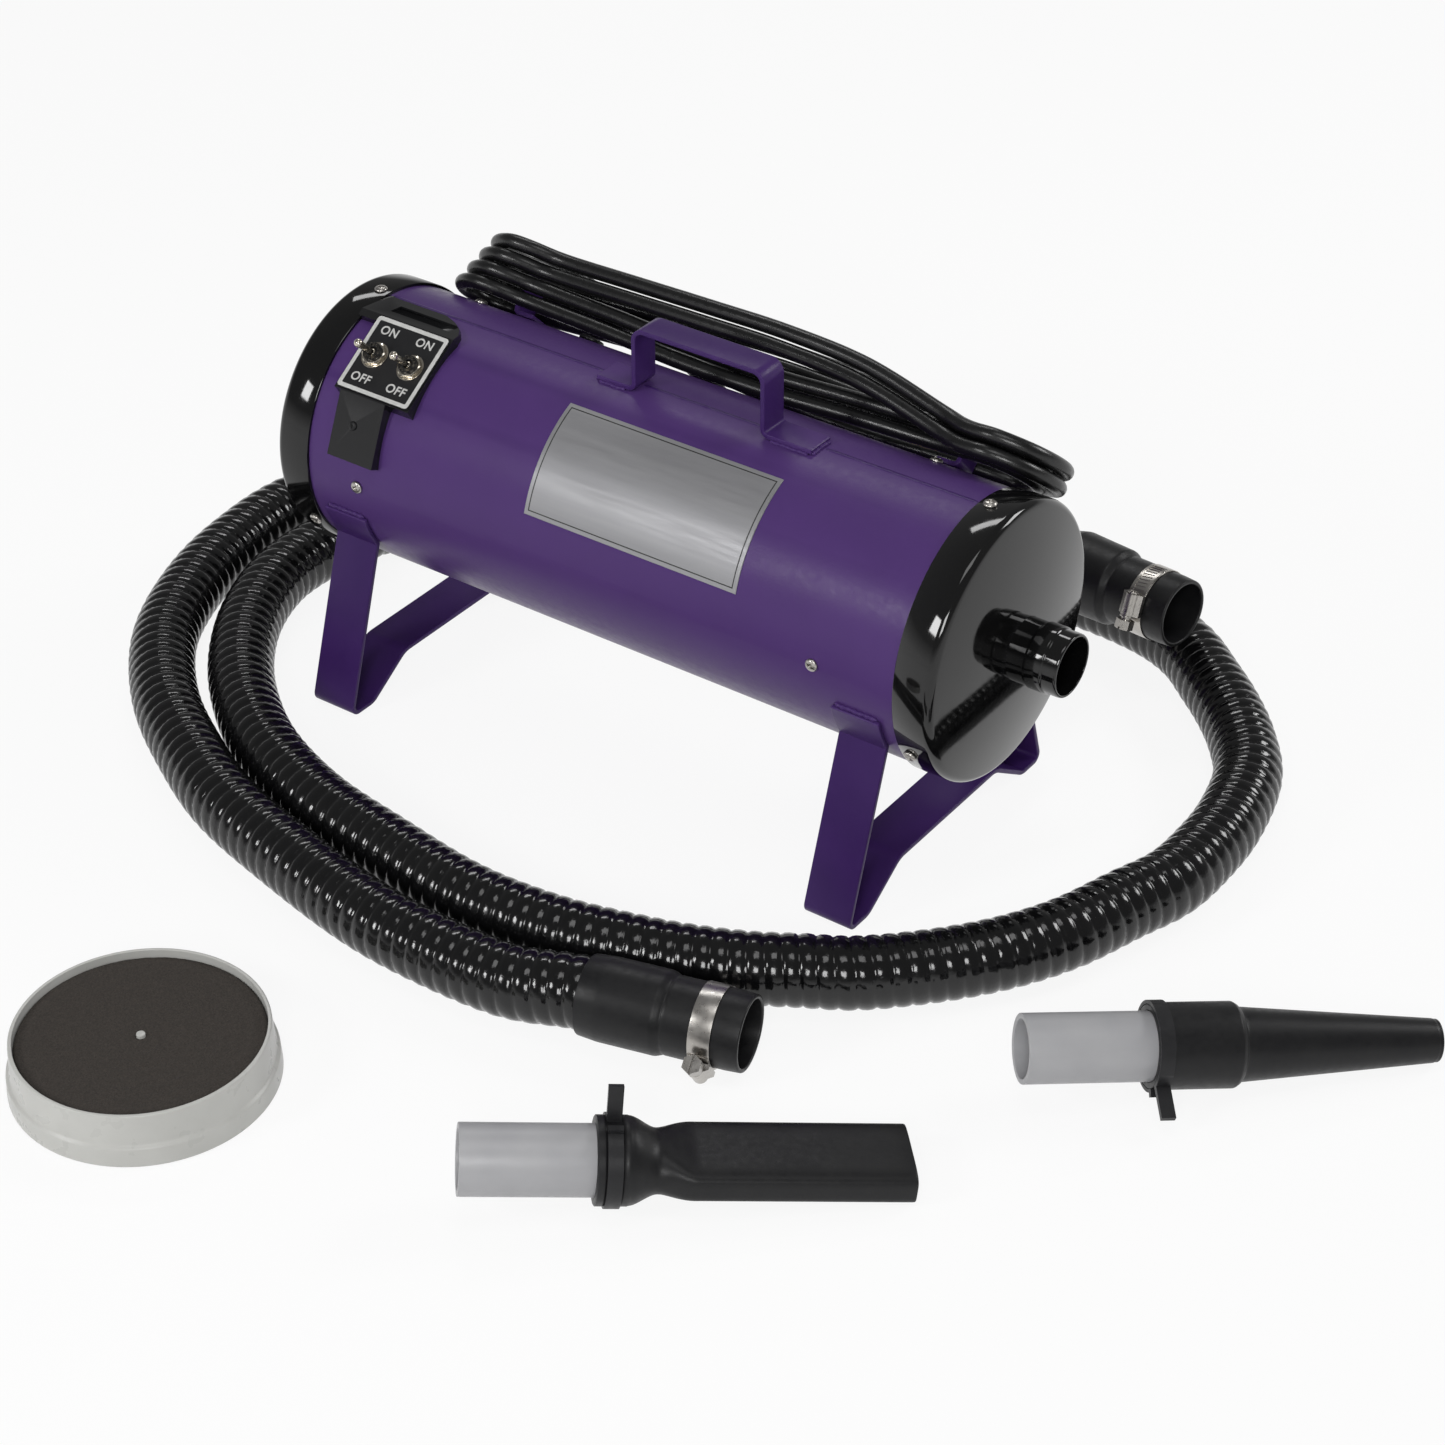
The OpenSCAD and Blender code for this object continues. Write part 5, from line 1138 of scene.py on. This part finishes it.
PLATE_LOW, PLATE_HIGH = SHELL_R + 0.1, SHELL_R + 0.6
half_len, half_arc = PLATE_LEN / 2, PLATE_ARC / 2
piece(
    "bare_plate",
    rolled_sheet(-half_len, half_len, -half_arc, half_arc, PLATE_LOW, PLATE_HIGH, 2, 24),
    "silver_plate", ["name_plate"], sharp=40,
)
BORDER_IN, BORDER_W = 2.6, 0.7
out_s, out_t = half_len - BORDER_IN, half_arc - BORDER_IN
in_s, in_t = out_s - BORDER_W, out_t - BORDER_W
piece(
    "plate_border",
    [
        rolled_sheet(*sides, PLATE_HIGH - 0.02, PLATE_HIGH + 0.06, *cells)
        for sides, cells in (
            ((-out_s, out_s, in_t, out_t), (2, 2)), ((-out_s, out_s, -out_t, -in_t), (2, 2)),
            ((-out_s, -in_s, -in_t, in_t), (1, 24)), ((in_s, out_s, -in_t, in_t), (1, 24)),
        )
    ],
    "silver_plate", mat=DARK_PRINT, sharp=40,
)

# ---- Cord gland ----

GLAND = radial(GLAND_X, HOOK_ANGLE, SHELL_R)
gland_line = [Vector((0, 0, z)) for z in (-3.8, -1, 1.2, 2.5)]
gland_line += [Vector((7 + x, 0, 2.5 + z)) for x, z in arc(7, 170, 90, 8)]
gland_line += [Vector((x, 0, 9.5)) for x in [7.6 + 0.9 * k for k in range(29)] + [GLAND_SLEEVE]]


def gland_radius(i, share):
    """A flange's neck, and a sleeve that gets slimmer, with grooves round it."""
    x, z = gland_line[i].x, gland_line[i].z
    if z < 9.4:
        return 6.4
    slim = 6.4 - 0.85 * (x - 7) / (GLAND_SLEEVE - 7)
    ribbed = 9.5 < x < 31 and math.sin(2 * math.pi * (x - 9.5) / 3.6) < -0.1
    return slim - (0.75 if ribbed else 0)


piece(
    "cord_relief",
    [
        rings_part(tube_rings(gland_line, gland_radius, 32)),
        disc(8, 0.4, 3, 0.8, 4),
    ],
    "black_rubber", ["cord_gland"], place=GLAND, sharp=45,
)

# ---- Switch box ----

PANEL = SWITCH @ move(0, -SWITCH_DOWN, 0)
refined("switch_box", "switch_housing", "black_gloss", 0.7)
piece(
    "switch_panel",
    prism(round_rectangle(SWITCH_LEN, SWITCH_WIDE, 2), -SWITCH_T + 0.02, 0),
    "black_gloss", ["switch_plate"], place=PANEL, sharp=32, bevel=0.25,
    mat=SLOTS["black_satin"],
)
PRINT_H = 0.08


def frame_print(long, wide, r, line):
    """A printed line round the switch plate."""
    outer = round_rectangle(long, wide, r)
    inner = round_rectangle(long - 2 * line, wide - 2 * line, r - line / 2)
    return rings_part([
        [(x, y, z) for x, y in edge]
        for edge, z in ((outer, 0), (outer, PRINT_H), (inner, PRINT_H), (inner, 0))
    ], closed=True)


piece(
    "switch_print", frame_print(SWITCH_LEN - 0.6, SWITCH_WIDE - 0.6, 2.2, 2.6), "black_gloss",
    place=PANEL, mat=WHITE_PRINT, sharp=40,
)
LETTER_SIZE, LETTER_H, LETTER_BOLD = 8.0 * MM, 0.03 * MM, 0.16 * MM
for name, word, x, y in (
    ("print_on_left", "ON", -14.0, 13.0), ("print_on_right", "ON", 13.2, 13.0),
    ("print_off_left", "OFF", -14.0, -20.8), ("print_off_right", "OFF", 13.2, -20.8),
):
    letters = bpy.data.curves.new(name, "FONT")
    letters.body, letters.size, letters.align_x = word, LETTER_SIZE, "CENTER"
    letters.extrude, letters.offset, letters.space_character = LETTER_H, LETTER_BOLD, 1.08
    text = add_object(name, letters)
    flat_text = settled_mesh(text)
    bpy.data.objects.remove(text)
    flat_text.transform(KIT @ SWITCH @ move(x, y, 0.03) @ Matrix.Scale(1 / MM, 4))
    flat_text.materials.clear()
    flat_text.materials.append(WHITE_PRINT)
    text = add_object(name, flat_text)
    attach(text, "machine")
BOX_SCREW = radial(-174.7, 156.5, SHELL_R + 5.52) @ move(-2.5, 4.6, 0)
screws("box_fixing", "housing_screw", [BOX_SCREW], r=2.8, h=1.4, slot_name="black_satin")
NUT_BORE_R, NUT_HALF, NUT_TURN = 6.05, 7.15, 12
BUSHING_IN, BUSHING_LOW = 2.95, -3.2
nut_hole = ring_of(NUT_BORE_R, 24)
nut_side = [
    polar(NUT_HALF / math.cos(math.radians((a - NUT_TURN) % 60 - 30)), a)
    for a in range(0, 360, 15)
]
nut_part = rings_part([
    [(x, y, 0.9) for x, y in nut_hole],
    [(x * 0.985, y * 0.985, 0.9) for x, y in nut_side],
    [(x, y, 1.2) for x, y in nut_side],
    [(x, y, 3.1) for x, y in nut_side],
    [(x, y, 3.5) for x, y in ring_of(7.1 * 0.98, 24)],
    [(x, y, 3.5) for x, y in nut_hole],
], closed=True)
washer_part = turned(
    [(NUT_BORE_R, 0.05), (8.85, 0.05), (8.85, 0.85), (NUT_BORE_R, 0.85)], 0.25, 3, 64
)
threads = [(BUSHING_IN, BUSHING_LOW), (5.5, BUSHING_LOW)]
for k in range(11):
    z = -3.0 + 0.7 * k
    threads += [(5.95, z + 0.15), (5.55, z + 0.5)]
threads += [(5.7, 5.0), (5.4, 5.2), (3.6, 5.2), (BUSHING_IN, 4.6)]
spots = [move(side * TOGGLE_GAP / 2, -SWITCH_DOWN, 0) for side in (-1, 1)]
piece(
    "toggle_hardware",
    [placed(part, spot) for spot in spots for part in (washer_part, nut_part)],
    "nickel", ["toggle_nuts"], place=SWITCH, sharp=22,
)
for name, spot in zip(("motor_toggle_bushing", "heat_toggle_bushing"), spots):
    piece(name, revolve(threads, 48), "nickel", place=SWITCH @ spot, sharp=25)

# ---- Nozzles ----


def mix(a, b, s):
    """From a to b, smoothly, as s goes from 0 to 1."""
    s = max(0.0, min(1.0, s))
    return a + (b - a) * s * s * (3 - 2 * s)


FLAT_LEN, FLAT_W, FLAT_H = 165.0, 48.0, 19.0
MOUTH_SLANT = math.tan(math.radians(-1.5))
COLLAR_R, NOZZLE_BORE_R, FLAT_WALL = 23.5, TUBE_R + 0.1, 2.5


def flat_ring(x, less):
    """The flat nozzle's section at x, drawn in by less at every side."""
    if x < 32:
        wide, high, power = mix(46.6, 39, (x - 17) / 15), mix(46.6, 29, (x - 17) / 17), 2.0
    else:
        wide = mix(39, FLAT_W, (x - 32) / 20)
        high = mix(29, FLAT_H, (x - 30) / 24)
        power = mix(2.1, 4.6, (x - 32) / 22)
    slant = MOUTH_SLANT * max(0.0, (x - 54) / (FLAT_LEN - 54))
    return [
        (x + y * slant, y, z)
        for _, y, z in squarish(0, wide - 2 * less, high - 2 * less, power, 64)
    ]


flat_xs = [17.5 + 1.5 * k for k in range(27)] + [62, 75, 95, 115, 135, 155, 163.6, 164.6, 165]
flat_skin = [
    squarish(x, 2 * r, 2 * r, 2, 64)
    for x, r in (
        (0, COLLAR_R * 0.97), (0.5, COLLAR_R), (3.6, COLLAR_R), (4.4, COLLAR_R),
        (4.8, COLLAR_R * 0.98), (13.4, COLLAR_R * 0.98), (13.8, COLLAR_R), (17, COLLAR_R),
    )
]
flat_skin += [flat_ring(x, {164.6: 0.1, 165: 0.35}.get(x, 0)) for x in flat_xs]
flat_bore = [flat_ring(x, FLAT_WALL if x < 164 else 2.3) for x in reversed(flat_xs[::2])]
flat_bore += [squarish(x, 2 * NOZZLE_BORE_R, 2 * NOZZLE_BORE_R, 2, 64) for x in (17, 0)]
piece(
    "flat_nozzle_moulding", rings_part(flat_skin + flat_bore, closed=True), "black_satin",
    ["flat_nozzle"], place=FLAT, sharp=50,
)
X_UP = turn("Y", 90)
piece(
    "cone_nozzle_moulding",
    turned([
        (NOZZLE_BORE_R, -8), (22.7, -8), (22.7, 0), (23.3, 0), (COLLAR_R, 0.6),
        (COLLAR_R, 38.5), (21.9, 41), (20.6, 41.6), (20.3, 43), (12.2, 152.6), (11.85, 153.6),
        (11.85, 155.5), (9.85, 155.5), (17.1, 38), (17.1, 30.1), (NOZZLE_BORE_R, 30.1),
    ], 0.7),
    "black_satin", ["cone_nozzle"], place=CONE @ X_UP, sharp=45,
)
for kind, place, start, end in (
    ("flat_nozzle", FLAT, -70, 17), ("cone_nozzle", CONE, -78, 30),
):
    wall = [(TUBE_R - 3, start), (TUBE_R, start), (TUBE_R, end), (TUBE_R - 3, end)]
    piece(
        kind + "_pipe", turned(wall, 0.4, 3), "grey_tube", [kind + "_tube"],
        place=place @ X_UP, sharp=45,
    )
for kind in ("flat_nozzle", "cone_nozzle"):
    refined(kind + "_snap_ring", kind + "_clip", "black_satin", 0.35)

# ---- Intake filter ----

FILTER = move(FILTER_AT[0], FILTER_AT[1], 0)
piece(
    "filter_dish",
    [
        turned([
            (0, 0), (73, 0), (74, 1), (73.4, 12.1), (71.4, 13.6), (70.2, 31.8), (69.4, 32.4),
            (68, 32.4), (68, 2), (0, 2),
        ], 0.9, 5, 192, (0, 9)),
        turned([(0, 1.9), (2.5, 1.9), (2.5, 29.7), (0, 29.7)], 0.6, 4, 32, (0, 1, 3)),
    ],
    "white_pan", ["filter_pan"], place=FILTER, sharp=45,
)
FOAM_R, FOAM_TOP, FOAM_LOW = 67.7, 28.5, 2.3
FOAM_HOLE_R, FOAM_EDGE, FOAM_RINGS = 2.8, 2.2, 44
RIPPLE_H, RIPPLE_PITCH = 0.16, 7.2
foam_profile = [
    (FOAM_HOLE_R, FOAM_LOW), (FOAM_R - 1, FOAM_LOW), (FOAM_R, FOAM_LOW + 1.2),
    (FOAM_R, FOAM_TOP - FOAM_EDGE),
]
foam_profile += [
    (FOAM_R - FOAM_EDGE + x, FOAM_TOP - 2.4 + y)
    for x, y in (polar(FOAM_EDGE, a) for a in (20, 45, 70, 90))
]
for k in range(FOAM_RINGS):
    r = (FOAM_R - 3) * (1 - k / FOAM_RINGS) + FOAM_HOLE_R * k / FOAM_RINGS
    ripple = RIPPLE_H * math.sin(r * 2 * math.pi / RIPPLE_PITCH)
    foam_profile.append((r, FOAM_TOP - 0.25 + ripple))
foam_profile.append((FOAM_HOLE_R, FOAM_TOP - 0.7))
foam_points, foam_faces = revolve(foam_profile, 160)
for i, (x, y, z) in enumerate(foam_points):
    if z > FOAM_TOP - 1.5:
        lump = noise.noise((x * 0.45, y * 0.45, 1.3)) + 0.6 * noise.noise((x * 1.4, y * 1.4, 4.7))
        foam_points[i] = (x, y, z + 0.12 * lump)
foam = piece(
    "foam_disc", (foam_points, foam_faces), "brown_foam", ["filter_foam"], place=FILTER, sharp=60,
)

# ---- Floor, world and lights ----


FLOOR_HALF, FLOOR_Z, FLOOR_GLOW = 40, -0.0003, 0.89
floor_mesh = bpy.data.meshes.new("floor")
floor_mesh.from_pydata(
    [(x * FLOOR_HALF, y * FLOOR_HALF, FLOOR_Z) for x, y in ((-1, -1), (1, -1), (1, 1), (-1, 1))],
    [], [(0, 1, 2, 3)],
)
floor = add_object("floor", floor_mesh)
paper = bpy.data.materials.new("white_floor")
paper.use_nodes = True
paper.node_tree.nodes.clear()
new, link = paper.node_tree.nodes.new, paper.node_tree.links.new
plain, glow = new("ShaderNodeBsdfDiffuse"), new("ShaderNodeEmission")
plain.inputs["Color"].default_value = srgb(238, 238, 238)
glow.inputs["Strength"].default_value = 1.0
# Most of what the camera and the reflections see of the floor is its own white.
rays = new("ShaderNodeLightPath")
seen = rays.outputs["Is Camera Ray"]
for ray in ("Is Glossy Ray", "Is Transmission Ray"):
    either = new("ShaderNodeMath")
    either.operation, either.use_clamp = "ADD", True
    link(seen, either.inputs[0])
    link(rays.outputs[ray], either.inputs[1])
    seen = either.outputs[0]
share = new("ShaderNodeMath")
share.operation = "MULTIPLY"
share.inputs[1].default_value = FLOOR_GLOW
both = new("ShaderNodeMixShader")
link(seen, share.inputs[0])
link(share.outputs[0], both.inputs["Fac"])
link(plain.outputs[0], both.inputs[1])
link(glow.outputs[0], both.inputs[2])
link(both.outputs[0], new("ShaderNodeOutputMaterial").inputs["Surface"])
floor_mesh.materials.append(paper)

world = bpy.data.worlds.new("studio")
bpy.context.scene.world = world
world.use_nodes = True
sky = world.node_tree
background = sky.nodes["Background"]
height = sky.nodes.new("ShaderNodeSeparateXYZ")
sky.links.new(sky.nodes.new("ShaderNodeTexCoord").outputs["Generated"], height.inputs[0])
# White near the floor's far edge, and dimmer higher up.
level = spread(sky, height.outputs["Z"], 0.9, 0.2, 0.02, 0.24)
sky.links.new(level, background.inputs["Strength"])
background.inputs["Color"].default_value = (1.0, 1.0, 1.0, 1.0)


for name, at, aim, size, watts in (
    ("back_softbox", (-1.3, 1.7, 2.3), (-0.1, 0.1, 0.15), (1.3, 0.35), 10),
    ("key_softbox", (-0.95, -1.75, 1.25), (0.0, 0.0, 0.15), (0.5, 0.5), 14),
    ("front_softbox", (1.1, -1.9, 1.5), (0.0, 0.0, 0.12), (0.9, 0.7), 25),
    ("rear_softbox", (1.2, 1.9, 1.5), (0.0, 0.0, 0.12), (0.9, 0.6), 17),
    ("top_softbox", (0.3, -0.3, 2.6), (0.0, 0.0, 0.1), (1.2, 0.8), 9),
):
    lamp_data = bpy.data.lights.new(name, "AREA")
    lamp_data.shape, lamp_data.energy = "RECTANGLE", watts
    lamp_data.size, lamp_data.size_y = size
    lamp = add_object(name, lamp_data)
    lamp.location = at
    lamp.rotation_euler = (Vector(aim) - Vector(at)).to_track_quat("-Z", "Y").to_euler()
